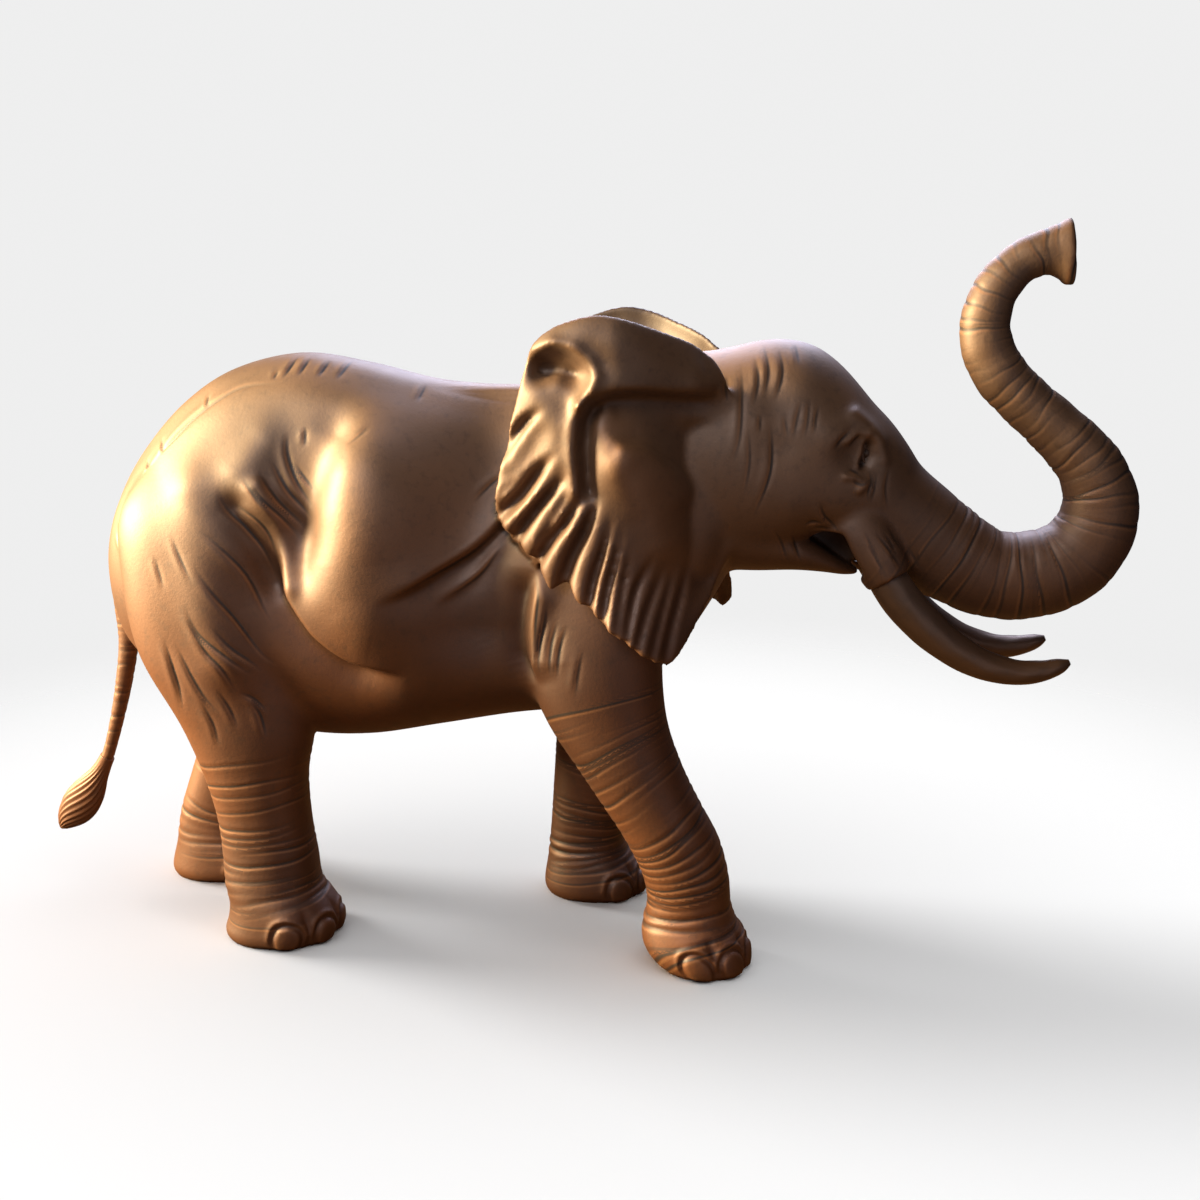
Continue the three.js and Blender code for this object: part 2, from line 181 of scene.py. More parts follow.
def folds(marks, x, z, share, index, lines):
    """Skin folds: sum of (depth, half width, path), each path running downwards. Each is a thin valley that
    fades at its ends, with the skin swollen behind and below it."""
    total = np.zeros(len(x))
    for depth, width, corners in marks:
        path = curve(corners)
        low, high = path.min(0) - 7 * width, path.max(0) + 7 * width
        near = np.flatnonzero((x > low[0]) & (x < high[0]) & (z > low[1]) & (z < high[1]))
        if len(near) == 0:
            continue
        d, place, side = path_distance(path, x[near], z[near])
        width = FOLD_WIDTH * width
        ends = between(place, 0, 0.45, 0.55, 1) * share[near]
        valley = 0.6 * bell(d, width) + 0.4 * np.exp(-d / (2.5 * width))
        swell = 0.55 * bell(d - 2.8 * width, 2 * width) * (side < 0)
        total[near] += FOLD_DEPTH * depth * ends * (swell - valley)
        lines.add(index[near], d * side, ends * min(1, depth / 8))
    return total


def wrapped_strip(rings, sides):
    """Quads between rings of points, and a fan over each end whose middle points come last."""
    i, j = np.meshgrid(np.arange(rings - 1), np.arange(sides), indexing="ij")
    a, b = i * sides + j, i * sides + (j + 1) % sides
    quads = np.stack([a, a + sides, b + sides, b], -1).reshape(-1, 4).tolist()
    first, last = rings * sides, rings * sides + 1
    end = (rings - 1) * sides
    for j in range(sides):
        k = (j + 1) % sides
        quads.append([first, j, k])
        quads.append([last, end + k, end + j])
    return quads


def closed(grid):
    """A closed body from rings of points, as (points, faces)."""
    rings, sides, _ = grid.shape
    points = np.concatenate([grid.reshape(-1, 3), grid[0].mean(0)[None], grid[-1].mean(0)[None]])
    return points, wrapped_strip(rings, sides)


def loft(stations, rings, sides, facing=None, roundness=2.0, relief=None):
    """A loft through stations [x, y, z, reach up, reach down, reach to the side]. Each ring is an ellipse in
    the plane across the path, or across a fixed direction. The relief adds millimetres outwards at (t, angle,
    points)."""
    t = np.linspace(0, 1, rings + 1)
    rows = along(stations, t)
    path = along(stations, t + 0.004)[:, :3] - along(stations, t - 0.004)[:, :3]
    forward = unit(path) if facing is None else np.tile(np.asarray(facing, float), (rings + 1, 1))
    across = unit(np.array([0, 1, 0]) - forward * forward[:, 1:2])
    upward = np.cross(forward, across)
    angle = np.linspace(0, 2 * math.pi, sides, endpoint=False)
    c = np.sign(np.cos(angle)) * np.abs(np.cos(angle)) ** (2 / roundness)
    s = np.sign(np.sin(angle)) * np.abs(np.sin(angle)) ** (2 / roundness)
    reach_up = np.where(c[None] > 0, rows[:, 3:4], rows[:, 4:5]) * c[None]
    reach_side = rows[:, 5:6] * s[None]
    out = upward[:, None] * reach_up[..., None] + across[:, None] * reach_side[..., None]
    grid = rows[:, None, :3] + out
    if relief is not None:
        height = relief(np.repeat(t, sides), np.tile(angle, rings + 1), grid.reshape(-1, 3))
        grid = grid + unit(out) * height.reshape(rings + 1, sides, 1)
    return closed(grid)


def mirrored(stations, setback=0):
    """The same stations on the other side, set back by some millimetres."""
    return [[x - setback, -y, *rest] for x, y, *rest in stations]


# Stations of the casting

TORSO = [
    [-1288, 0, 930, 25, 40, 18],
    [-1270, 0, 925, 100, 130, 70],
    [-1232, 0, 925, 195, 215, 125],
    [-1160, 0, 920, 308, 270, 182],
    [-1050, 0, 910, 433, 318, 230],
    [-920, 0, 895, 529, 362, 262],
    [-750, 0, 880, 583, 383, 288],
    [-580, 0, 870, 571, 370, 305],
    [-400, 0, 868, 532, 333, 312],
    [-220, 0, 875, 514, 305, 302],
    [-60, 0, 890, 512, 298, 280],
    [80, 0, 930, 500, 300, 255],
    [190, 0, 1010, 450, 275, 232],
    [280, 0, 1100, 375, 230, 203],
    [350, 0, 1180, 270, 180, 165],
]
SPINE_RIDGE = 12
FLANK_FORMS = [
    (-40, 90, [(-735, 1290), (-690, 1190), (-680, 1080)]),  # broad hollow before the hip
    (-26, 80, [(-745, 1080), (-735, 950), (-680, 860), (-570, 760)]),  # groove between thigh and belly
    (26, 130, [(-560, 1180), (-500, 1100)]),  # barrel of the ribs
    (18, 110, [(-1010, 1130), (-960, 1000)]),  # muscle of the thigh
]
SKIN_FORMS = [
    (-24, 56, [(-615, 1295), (-645, 1215), (-668, 1135), (-682, 1050), (-695, 985)]),  # hollow before the hip
    (16, 55, [(-785, 1270), (-835, 1200), (-805, 1130)]),  # point of the hip
    (12, 26, [(-797, 1166), (-752, 1089), (-725, 1005), (-705, 940)]),  # band between hollow and thigh
    (-20, 34, [(-850, 1120), (-800, 1030), (-768, 940)]),  # front of the thigh
    (34, 125, [(-530, 1190), (-555, 1100), (-560, 1000), (-540, 900)]),  # ribs
    (-60, 130, [(-215, 1260), (-235, 1130), (-262, 1010), (-262, 850)]),  # behind the shoulder
    (20, 75, [(-964, 1145), (-929, 1018), (-908, 865), (-880, 760)]),  # crest of the thigh
]
BELLY_EDGE = [(-765, 1060), (-750, 1004), (-736, 925), (-690, 853), (-649, 805), (-570, 757), (-430, 725)]
SKIN_LEDGES = [
    (26, 90, 80, BELLY_EDGE),
    (15, 55, 50, [(-500, 905), (-400, 950), (-343, 985), (-262, 1040), (-190, 1120), (-120, 1200)]),
    (6, 26, 34, [(-370, 895), (-290, 944), (-242, 987), (-180, 1075)]),
    (26, 60, 45, [(-113, 999), (-131, 903), (-139, 830), (-137, 760), (-118, 706)]),  # back of the foreleg
]
HEAD_AND_TRUNK = [
    [80, 0, 1195, 235, 235, 180],
    [330, 0, 1222, 273, 262, 208],
    [470, 0, 1225, 282, 240, 196],
    [590, 0, 1190, 185, 175, 168],
    [690, 0, 1115, 140, 150, 132],
    [775, 0, 1056, 127, 126, 112],
    [865, 0, 999, 115, 117, 103],
    [950, 0, 957, 107, 108, 97],
    [1040, 0, 952, 107, 107, 94],
    [1132, 0, 983, 103, 103, 91],
    [1190, 0, 1050, 96, 96, 86],
    [1206, 0, 1135, 88, 88, 80],
    [1172, 0, 1225, 76, 76, 72],
    [1092, 0, 1308, 67, 67, 65],
    [1012, 0, 1377, 63, 63, 61],
    [949, 0, 1444, 63, 63, 59],
    [915, 0, 1520, 60, 60, 56],
    [917, 0, 1590, 56, 56, 53],
    [943, 0, 1650, 52, 52, 49],
    [987, 0, 1695, 49, 49, 46],
    [1033, 0, 1716, 52, 52, 46],
    [1066, 0, 1721, 60, 64, 48],
    [1088, 0, 1722, 72, 79, 51],
    [1102, 0, 1723, 74, 83, 50],
]
TRUNK_START = 0.19  # share of the head's path where the skull ends and the trunk begins
FACE_FORMS = [
    (-20, 42, [(612, 1262), (640, 1250)]),  # orbit
    (12, 34, [(560, 1300), (610, 1325), (660, 1300)]),  # bone over it
    (-12, 50, [(420, 1400), (440, 1290)]),  # temple
    (14, 70, [(480, 1130), (560, 1110)]),  # cheek
]
JAW = [
    [330, 0, 1075, 60, 128, 168],
    [420, 0, 1042, 60, 96, 150],
    [500, 0, 1010, 52, 58, 118],
    [560, 0, 984, 32, 34, 84],
    [606, 0, 964, 17, 19, 54],
    [640, 0, 953, 6, 7, 24],
]
MOUTH = [
    (512, 1046), (566, 1008), (606, 980), (650, 952), (644, 984), (618, 1026), (596, 1070), (552, 1074),
]
TONGUE_HALF_WIDTH = 14  # what stays uncut in the middle of the mouth
CHEEK_HALF_WIDTH = 210  # how far out the cut runs
LEGS = {
    "right_hind": [
        [-990, -92, 1250, 90, 90, 60],
        [-1000, -140, 1100, 170, 182, 110],
        [-985, -162, 930, 210, 196, 128],
        [-945, -172, 740, 215, 202, 130],
        [-885, -180, 560, 178, 160, 120],
        [-860, -182, 430, 132, 133, 108],
        [-844, -184, 310, 119, 118, 102],
        [-832, -186, 205, 121, 121, 105],
        [-828, -188, 140, 124, 122, 112],
        [-815, -190, 95, 140, 124, 120],
        [-806, -190, 50, 148, 138, 128],
        [-808, -190, 20, 147, 146, 130],
        [-811, -190, 0, 138, 138, 122],
    ],
    "left_hind": [
        [-1000, 92, 1250, 90, 90, 60],
        [-1000, 140, 1100, 170, 165, 110],
        [-985, 162, 930, 205, 170, 128],
        [-950, 172, 740, 205, 158, 130],
        [-955, 178, 560, 172, 142, 120],
        [-1006, 180, 430, 132, 130, 108],
        [-1060, 182, 310, 117, 118, 102],
        [-1098, 184, 205, 115, 117, 104],
        [-1110, 184, 140, 120, 120, 110],
        [-1110, 184, 95, 134, 126, 120],
        [-1106, 184, 50, 146, 142, 128],
        [-1108, 184, 20, 146, 146, 130],
        [-1110, 184, 0, 138, 138, 122],
    ],
    "right_front": [
        [15, -110, 1200, 120, 120, 80],
        [12, -150, 1040, 165, 160, 112],
        [8, -180, 880, 172, 158, 122],
        [8, -198, 740, 168, 166, 120],
        [42, -205, 610, 148, 148, 112],
        [97, -209, 500, 129, 130, 106],
        [155, -212, 400, 120, 121, 101],
        [203, -214, 318, 116, 116, 98],
        [238, -216, 227, 107, 106, 95],
        [249, -217, 150, 104, 104, 95],
        [252, -222, 100, 118, 118, 108],
        [262, -228, 56, 130, 126, 118],
        [276, -234, 22, 120, 118, 116],
        [290, -238, 0, 102, 104, 104],
    ],
    "left_front": [
        [15, 110, 1200, 120, 120, 80],
        [10, 150, 1040, 160, 160, 112],
        [5, 172, 880, 165, 158, 122],
        [0, 182, 740, 158, 160, 120],
        [-4, 184, 610, 146, 146, 112],
        [-10, 182, 500, 130, 130, 106],
        [-22, 180, 400, 121, 121, 101],
        [-36, 178, 300, 113, 113, 98],
        [-50, 176, 215, 104, 104, 95],
        [-55, 174, 150, 102, 104, 95],
        [-48, 173, 100, 118, 116, 106],
        [-38, 172, 50, 138, 134, 117],
        [-36, 172, 20, 138, 138, 119],
        [-36, 172, 0, 128, 130, 111],
    ],
}
FOOT_YAW = {"right_hind": -8, "left_hind": 8, "right_front": -24, "left_front": 8}  # degrees
NAIL_ANGLES = [-62, -20, 20, 62]
TAIL = [
    [-1235, 0, 1000, 60, 40, 34],
    [-1262, 0, 860, 34, 34, 30],
    [-1264, 0, 720, 27, 27, 25],
    [-1286, 0, 600, 23, 23, 22],
    [-1318, 0, 480, 19, 19, 18],
    [-1350, 0, 385, 18, 18, 17],
    [-1378, 0, 335, 24, 24, 17],
    [-1412, 0, 282, 42, 42, 19],
    [-1445, 0, 238, 46, 46, 19],
    [-1478, 0, 200, 30, 30, 14],
    [-1500, 0, 172, 5, 5, 5],
]
SLEEVE = [
    [560, -60, 1160, 60, 60, 50],
    [618, -92, 1090, 80, 80, 66],
    [672, -113, 1018, 66, 68, 62],
    [708, -122, 958, 55, 55, 55],
]
TUSK = [
    [690, -120, 985, 40, 40, 40],
    [708, -121, 955, 47, 47, 46],
    [745, -122, 903, 48, 48, 46],
    [800, -123, 846, 46, 46, 44],
    [862, -124, 797, 42, 42, 41],
    [934, -124, 759, 37, 37, 37],
    [1010, -122, 741, 31, 31, 32],
    [1072, -119, 744, 26, 26, 27],
    [1118, -116, 758, 18, 18, 19],
    [1140, -114, 768, 7, 7, 7],
]
LEFT_TUSK_SETBACK = 18  # its tip shows behind the near one's
SHEATH = [
    [-720, 0, 552, 20, 22, 20],
    [-680, 0, 536, 34, 38, 34],
    [-622, 0, 532, 36, 42, 36],
    [-572, 0, 540, 28, 36, 28],
    [-540, 0, 556, 12, 14, 12],
]


# The ears

EAR_FLUTED = [
    (-180, 1312), (-204, 1212), (-213, 1150), (-204, 1120), (-188, 1094), (-156, 1061), (-119, 1020),
    (-95, 988), (-76, 957), (-55, 962), (-34, 968), (-14, 938), (8, 920), (26, 910), (46, 888), (70, 866),
    (100, 845), (128, 820), (160, 796), (193, 775),
]
EAR_PLAIN = [
    (193, 775), (226, 803), (262, 866), (300, 937), (335, 1030), (348, 1150), (345, 1300), (318, 1440),
    (254, 1507), (209, 1532), (144, 1558), (79, 1578), (13, 1582), (-54, 1563), (-99, 1536), (-126, 1505),
    (-142, 1456), (-156, 1403), (-168, 1355), (-180, 1312),
]
EAR_OUTLINE = EAR_FLUTED + EAR_PLAIN[1:-1]
EAR_HUB = np.array([70.0, 1290.0])
EAR_RIM_THICKNESS = 16
EAR_ROOT_THICKNESS = 120
EAR_ROOT_REACH = 182  # from the middle of the animal to the sheet, where it leaves the head
EAR_CREST_REACH = 146  # how much further out its crest stands
EAR_TURN_IN = 42  # how far it comes back behind the crest
EAR_CLEAR_OF_LEG = 62  # how far its low end stands off the foreleg
EAR_SHEET_DEPTH = 75  # the sheet and its relief lie within this of its reach
EAR_OUTER_DEPTH = 32  # its outer face lies within this
EAR_INNER_DEPTH = 90  # and its inner face within this
FAR_EAR_SWING = 105  # how far forward the low end of the far ear swings
EAR_FORMS = [
    (22, 50, [(-86, 1530), (14, 1530), (123, 1512), (210, 1470), (275, 1436)]),  # hood along the top
    (-22, 38, [(90, 1366), (140, 1358), (185, 1335)]),  # recess under it
    (-40, 34, [(-92, 1468), (-50, 1474), (-20, 1452)]),  # pocket at the top of the back edge
    (20, 15, [(-110, 1500), (-67, 1521), (-18, 1510), (18, 1482), (33, 1449), (20, 1416), (-4, 1382)]),  # lip
    (20, 19, [(-4, 1382), (-16, 1342), (-19, 1288), (-16, 1233), (-14, 1190)]),  # crest beside the valley
    (-36, 18, [(24, 1380), (8, 1342), (4, 1288), (8, 1234), (12, 1188)]),  # valley
    (14, 36, [(-110, 1395), (-62, 1330), (-60, 1265)]),  # swelling above the flutes
    (26, 60, [(90, 1240), (130, 1195), (165, 1140), (185, 1070)]),  # smooth middle
    (-40, 42, [(238, 1300), (262, 1240), (278, 1165), (286, 1046), (288, 965)]),  # valley beside the head
    (-14, 15, [(-104, 1450), (-63, 1455), (-26, 1449)]),  # floor of the pocket
]
EAR_PAINTED_HIGHLIGHT = (-0.16, 60, [(70, 1325), (130, 1225), (190, 1120), (215, 1010)])  # painted highlight: the smooth middle of the ear made lighter, as if lit from the front
HOOD_EDGE = [
    (5, 1350), (26, 1380), (50, 1402), (90, 1410), (150, 1408), (215, 1400), (275, 1402), (320, 1425),
]
EAR_LEDGES = [
    (34, 70, 40, HOOD_EDGE),
    (20, 60, 50, [(285, 1130), (255, 1185), (205, 1235), (150, 1285), (95, 1300), (40, 1325)]),
]
EAR_FLUTES = [
    (34, 15, [(-85, 1378), (-130, 1345), (-170, 1298), (-190, 1270)]),
    (44, 17, [(-50, 1285), (-108, 1225), (-150, 1170), (-205, 1122), (-225, 1105)]),
    (14, 8, [(-145, 1216), (-190, 1178), (-214, 1140)]),
    (44, 15, [(-30, 1236), (-80, 1178), (-123, 1126), (-170, 1062), (-185, 1040)]),
    (16, 7, [(-22, 1204), (-58, 1141), (-98, 1075)]),
    (44, 15, [(10, 1190), (-40, 1116), (-77, 1072), (-118, 1008), (-130, 985)]),
    (42, 17, [(46, 1195), (6, 1100), (-25, 1036), (-50, 960), (-58, 935)]),
    (32, 12, [(70, 1140), (44, 1045), (26, 986), (14, 912), (10, 890)]),
    (28, 11, [(92, 1118), (71, 1016), (58, 958), (48, 884), (44, 860)]),
    (18, 9, [(114, 1080), (96, 985), (82, 860)]),
    (26, 11, [(168, 1052), (134, 988), (118, 944), (104, 850), (100, 825)]),
    (24, 10, [(186, 1020), (158, 940), (142, 891), (126, 820), (122, 800)]),
    (22, 9, [(206, 1005), (184, 911), (171, 853), (158, 795), (154, 775)]),
    (24, 11, [(242, 1045), (219, 934), (203, 870), (186, 780), (182, 760)]),
]


def ear_reach(x, z):
    """How far the sheet of the ear stands out from the middle of the animal. It swings out from the head to
    its crest, then turns in again behind."""
    out_to_crest = smooth(330 - x, 0, 270) * (EAR_CREST_REACH + 0.03 * (1300 - z))
    back_in = EAR_TURN_IN * smooth(10 - x, 0, 230)
    return EAR_ROOT_REACH + out_to_crest - back_in + EAR_CLEAR_OF_LEG * (1 - smooth(z, 770, 1000))


def ear(side, swing):
    """A closed shell: rings from the hub out to the rim on the outer face, and back on the inner one. Each
    ring is the outline brought to a share of its distance from the hub."""
    fluted = along(EAR_FLUTED, np.linspace(0, 1, 160, endpoint=False))
    plain = along(EAR_PLAIN, np.linspace(0, 1, 200, endpoint=False))
    outline = np.concatenate([fluted, plain])
    notch = flutes(EAR_FLUTES, outline[:, 0], outline[:, 1])
    outline = outline + unit(outline - EAR_HUB) * (0.14 * notch)[:, None]
    outer = [(f, 1) for f in (*np.linspace(0.06, 0.94, 62), 0.965, 0.982, 0.994)]
    rim = [(1.0, 0.5)]
    inner = [(f, 0) for f in np.linspace(0.985, 0.4, 34)]
    grid = []
    for f, facing_out in outer + rim + inner:
        flat = EAR_HUB + f * (outline - EAR_HUB)
        x, z = flat[:, 0], flat[:, 1]
        relief = strokes(EAR_FORMS, x, z) + ledges(EAR_LEDGES, x, z) + flutes(EAR_FLUTES, x, z)
        relief = relief * (1 - 0.25 * smooth(f, 0.9, 1))
        rounding = -5 * smooth(f, 0.955, 1.0)
        sheet = EAR_RIM_THICKNESS + EAR_ROOT_THICKNESS * (1 - f)
        kept = facing_out + (1 - facing_out) * smooth(f, 0.5, 0.85)
        drop = (1 - facing_out) * sheet
        reach = ear_reach(x, z) + relief * kept + rounding * facing_out - drop
        forward = swing * (1 - smooth(z, 771, 1000))
        grid.append(np.stack([x + forward, side * reach, z], -1))
    points, faces = closed(np.array(grid))
    return points, faces if side < 0 else [face[::-1] for face in faces]


# The fused skin

def torso():
    def relief(t, angle, points):
        ridge = SPINE_RIDGE * bell(np.cos(angle) - 1, 0.045)
        sides = smooth(np.abs(np.sin(angle)), 0.35, 0.8)
        return ridge + sides * strokes(FLANK_FORMS, points[:, 0], points[:, 2])

    return loft(TORSO, 150, 120, facing=(1, 0, 0), roundness=2.15, relief=relief)


def head_and_trunk():
    def relief(t, angle, points):
        return smooth(np.abs(np.sin(angle)), 0.35, 0.8) * strokes(FACE_FORMS, points[:, 0], points[:, 2])

    return loft(HEAD_AND_TRUNK, 330, 72, roundness=2.1, relief=relief)


def joined(bodies):
    """Several bodies as one list of points and one of faces."""
    points, faces, start = [], [], 0
    for p, f in bodies:
        points.append(p)
        faces.extend([[k + start for k in face] for face in f])
        start += len(p)
    return np.concatenate(points), faces


def in_scene(name, data):
    thing = bpy.data.objects.new(name, data)
    bpy.context.scene.collection.objects.link(thing)
    return thing


def mesh_object(name, points, faces):
    mesh = bpy.data.meshes.new(name)
    mesh.from_pydata(to_part_frame(points).tolist(), [], faces)
    return in_scene(name, mesh)


def bake(piece):
    """Applies the piece's modifiers to its mesh."""
    bpy.context.view_layer.update()
    graph = bpy.context.evaluated_depsgraph_get()
    mesh = bpy.data.meshes.new_from_object(piece.evaluated_get(graph))
    piece.modifiers.clear()
    old, piece.data = piece.data, mesh
    bpy.data.meshes.remove(old)


def remesh(piece, size):
    voxel = piece.modifiers.new("voxel", "REMESH")
    voxel.mode = "VOXEL"
    voxel.voxel_size = size * MM
    voxel.use_smooth_shade = True
    bake(piece)


def mouth_cutter(side):
    """The gap of the mouth on one side, as a body to cut away."""
    near, far = side * TONGUE_HALF_WIDTH, side * CHEEK_HALF_WIDTH
    count = len(MOUTH)
    points = [(x, near, z) for x, z in MOUTH] + [(x, far, z) for x, z in MOUTH]
    faces = [[k, (k + 1) % count, count + (k + 1) % count, count + k] for k in range(count)]
    faces += [list(range(count))[::-1], list(range(count, 2 * count))]
    if side > 0:
        faces = [face[::-1] for face in faces]
    return points, faces


def fused_casting():
    """Body, head, ears, legs and tail fused by a voxel remesh, with the mouth cut open."""
    bodies = [torso(), head_and_trunk(), loft(JAW, 40, 48)]
    bodies += [loft(stations, 24, 40) for stations in (SLEEVE, mirrored(SLEEVE, LEFT_TUSK_SETBACK))]
    bodies += [ear(-1, 0), ear(1, FAR_EAR_SWING)]
    bodies += [loft(TAIL, 120, 24), loft(SHEATH, 24, 24)]
    bodies += [loft(stations, 90, 64, facing=(0, 0, -1), roundness=2.2) for stations in LEGS.values()]
    casting = mesh_object("casting", *joined(bodies))
    remesh(casting, VOXEL + 1)
    cutter = mesh_object("cutter", *joined([mouth_cutter(-1), mouth_cutter(1)]))
    cut = casting.modifiers.new("mouth", "BOOLEAN")
    cut.operation = "DIFFERENCE"
    cut.solver = "MANIFOLD"
    cut.object = cutter
    bake(casting)
    bpy.data.objects.remove(cutter)
    remesh(casting, VOXEL)
    return casting


class Skin:
    """Points, quads and edges of the fused skin as arrays, in millimetres."""

    def __init__(self, mesh):
        count = len(mesh.vertices)
        flat = np.empty(count * 3, np.float32)
        mesh.vertices.foreach_get("co", flat)
        self.points = flat.reshape(-1, 3).astype(float) / MM + (CENTRE_X, 0, 0)
        edges = np.empty(len(mesh.edges) * 2, np.int32)
        mesh.edges.foreach_get("vertices", edges)
        self.edges = edges.reshape(-1, 2)
        corners = np.empty(len(mesh.loops), np.int32)
        mesh.loops.foreach_get("vertex_index", corners)
        self.quads = corners.reshape(-1, 4)
        self.degree = np.bincount(self.edges.ravel(), minlength=count)

    def around(self, values):
        """Mean of the neighbours' values."""
        a, b = self.edges[:, 0], self.edges[:, 1]
        columns = values.reshape(len(values), -1)
        total = np.stack([
            np.bincount(a, weights=c[b], minlength=len(c)) + np.bincount(b, weights=c[a], minlength=len(c))
            for c in columns.T
        ], -1)
        return (total / self.degree[:, None]).reshape(values.shape)

    def soften(self, rounds, weight=1.0):
        """Moves each point half way to the middle of its neighbours, in rounds, by its weight."""
        share = 0.5 * np.broadcast_to(weight, len(self.points))[:, None]
        for _ in range(rounds):
            self.points += share * (self.around(self.points) - self.points)

    def normals(self):
        a, b, c, d = (self.points[self.quads[:, k]] for k in range(4))
        across = np.cross(c - a, d - b)
        total = np.zeros_like(self.points)
        for axis in range(3):
            for k in range(4):
                total[:, axis] += np.bincount(
                    self.quads[:, k], weights=across[:, axis], minlength=len(self.points)
                )
        return unit(total)


def blob(points, centre, radius):
    """1 at the centre of an ellipsoid, 0 outside it."""
    away = (points - np.asarray(centre, float)) / np.asarray(radius, float)
    return 1 - smooth(np.linalg.norm(away, axis=1), 0.55, 1.0)


# Rings and folds

TRUNK_SAMPLES = 700
TRUNK_WAVE = 79  # millimetres between the low swellings of the trunk


def ring_places(start, end, low, high):
    """Places of successive rings from start to end, each a random step between low and high from the last."""
    places = [start]
    while places[-1] < end:
        places.append(places[-1] + rng.uniform(low, high))
    return places


def rings(place, angle, places, width, depth, wave, index, lines, cover=0.55, drawn=0.8):
    """Skin rings: wavy grooves across a limb at those places, each deeper on one side of it, with low lips.
    Drawn is the strength of the painted shade line along them and of the painted highlight beside it."""
    total = np.zeros(len(place))
    for middle in places:
        turns = rng.uniform(0, 2 * math.pi, 4)
        strength = rng.uniform(0.55, 1.0)
        tilt = rng.uniform(0.5, 1.0) * wave
        half = width * rng.uniform(0.8, 1.25)
        near = np.flatnonzero(np.abs(place - middle) < 4 * half + 2.4 * wave)
        a = angle[near]
        sway = np.sin(a + turns[0]) + 0.55 * np.sin(2 * a + turns[1]) + 0.3 * np.sin(5 * a + turns[2])
        across = place[near] - middle - tilt * sway
        d = across / half
        share = np.clip(cover + (1 - cover) * 1.3 * np.sin(a + turns[3]), 0, 1)
        groove = bell(d, 1) - 0.4 * bell(d, 2.4)
        total[near] -= depth * strength * share * groove
        lines.add(index[near], across, drawn * strength * share)
    return total


def trunk_frame(points):
    """Where each point lies on the trunk: millimetres along it, angle round it and share of its radius."""
    t = np.linspace(TRUNK_START, 1, TRUNK_SAMPLES)
    rows = along(HEAD_AND_TRUNK, t)
    centre, radius = rows[:, :3], rows[:, 3:].mean(1)
    run = np.concatenate([[0], np.cumsum(np.linalg.norm(np.diff(centre, axis=0), axis=1))])
    best = np.empty(len(points), int)
    for part in np.array_split(np.arange(len(points)), max(1, len(points) // 4000)):
        away = ((points[part, None, :] - centre[None]) ** 2).sum(-1)
        best[part] = away.argmin(1)
    forward = unit(np.gradient(centre, axis=0))[best]
    across = unit(np.array([0, 1, 0]) - forward * forward[:, 1:2])
    upward = np.cross(forward, across)
    out = points - centre[best]
    angle = np.arctan2((out * across).sum(1), (out * upward).sum(1))
    return run[best] + (out * forward).sum(1), angle, np.linalg.norm(out, axis=1) / radius[best]


def leg_frame(points, stations):
    """For points at their own height on a leg: angle round it, 0 at its front, share of its radius, that
    radius, and place along it, measured square to the leg."""
    rows = np.asarray(stations, float)[::-1]
    z = np.clip(points[:, 2], rows[0, 2], rows[-1, 2])
    x, y, fore, aft, side = (np.interp(z, rows[:, 2], rows[:, k]) for k in (0, 1, 3, 4, 5))
    dx, dy = points[:, 0] - x, points[:, 1] - y
    reach = np.where(dx > 0, fore, aft)
    lean = np.interp(z, rows[:, 2], np.gradient(rows[:, 0], rows[:, 2]))
    place = z + np.clip(lean, -0.7, 0.7) * dx
    return np.arctan2(dy / side, dx / reach), np.hypot(dx / reach, dy / side), (fore + aft) / 2, place


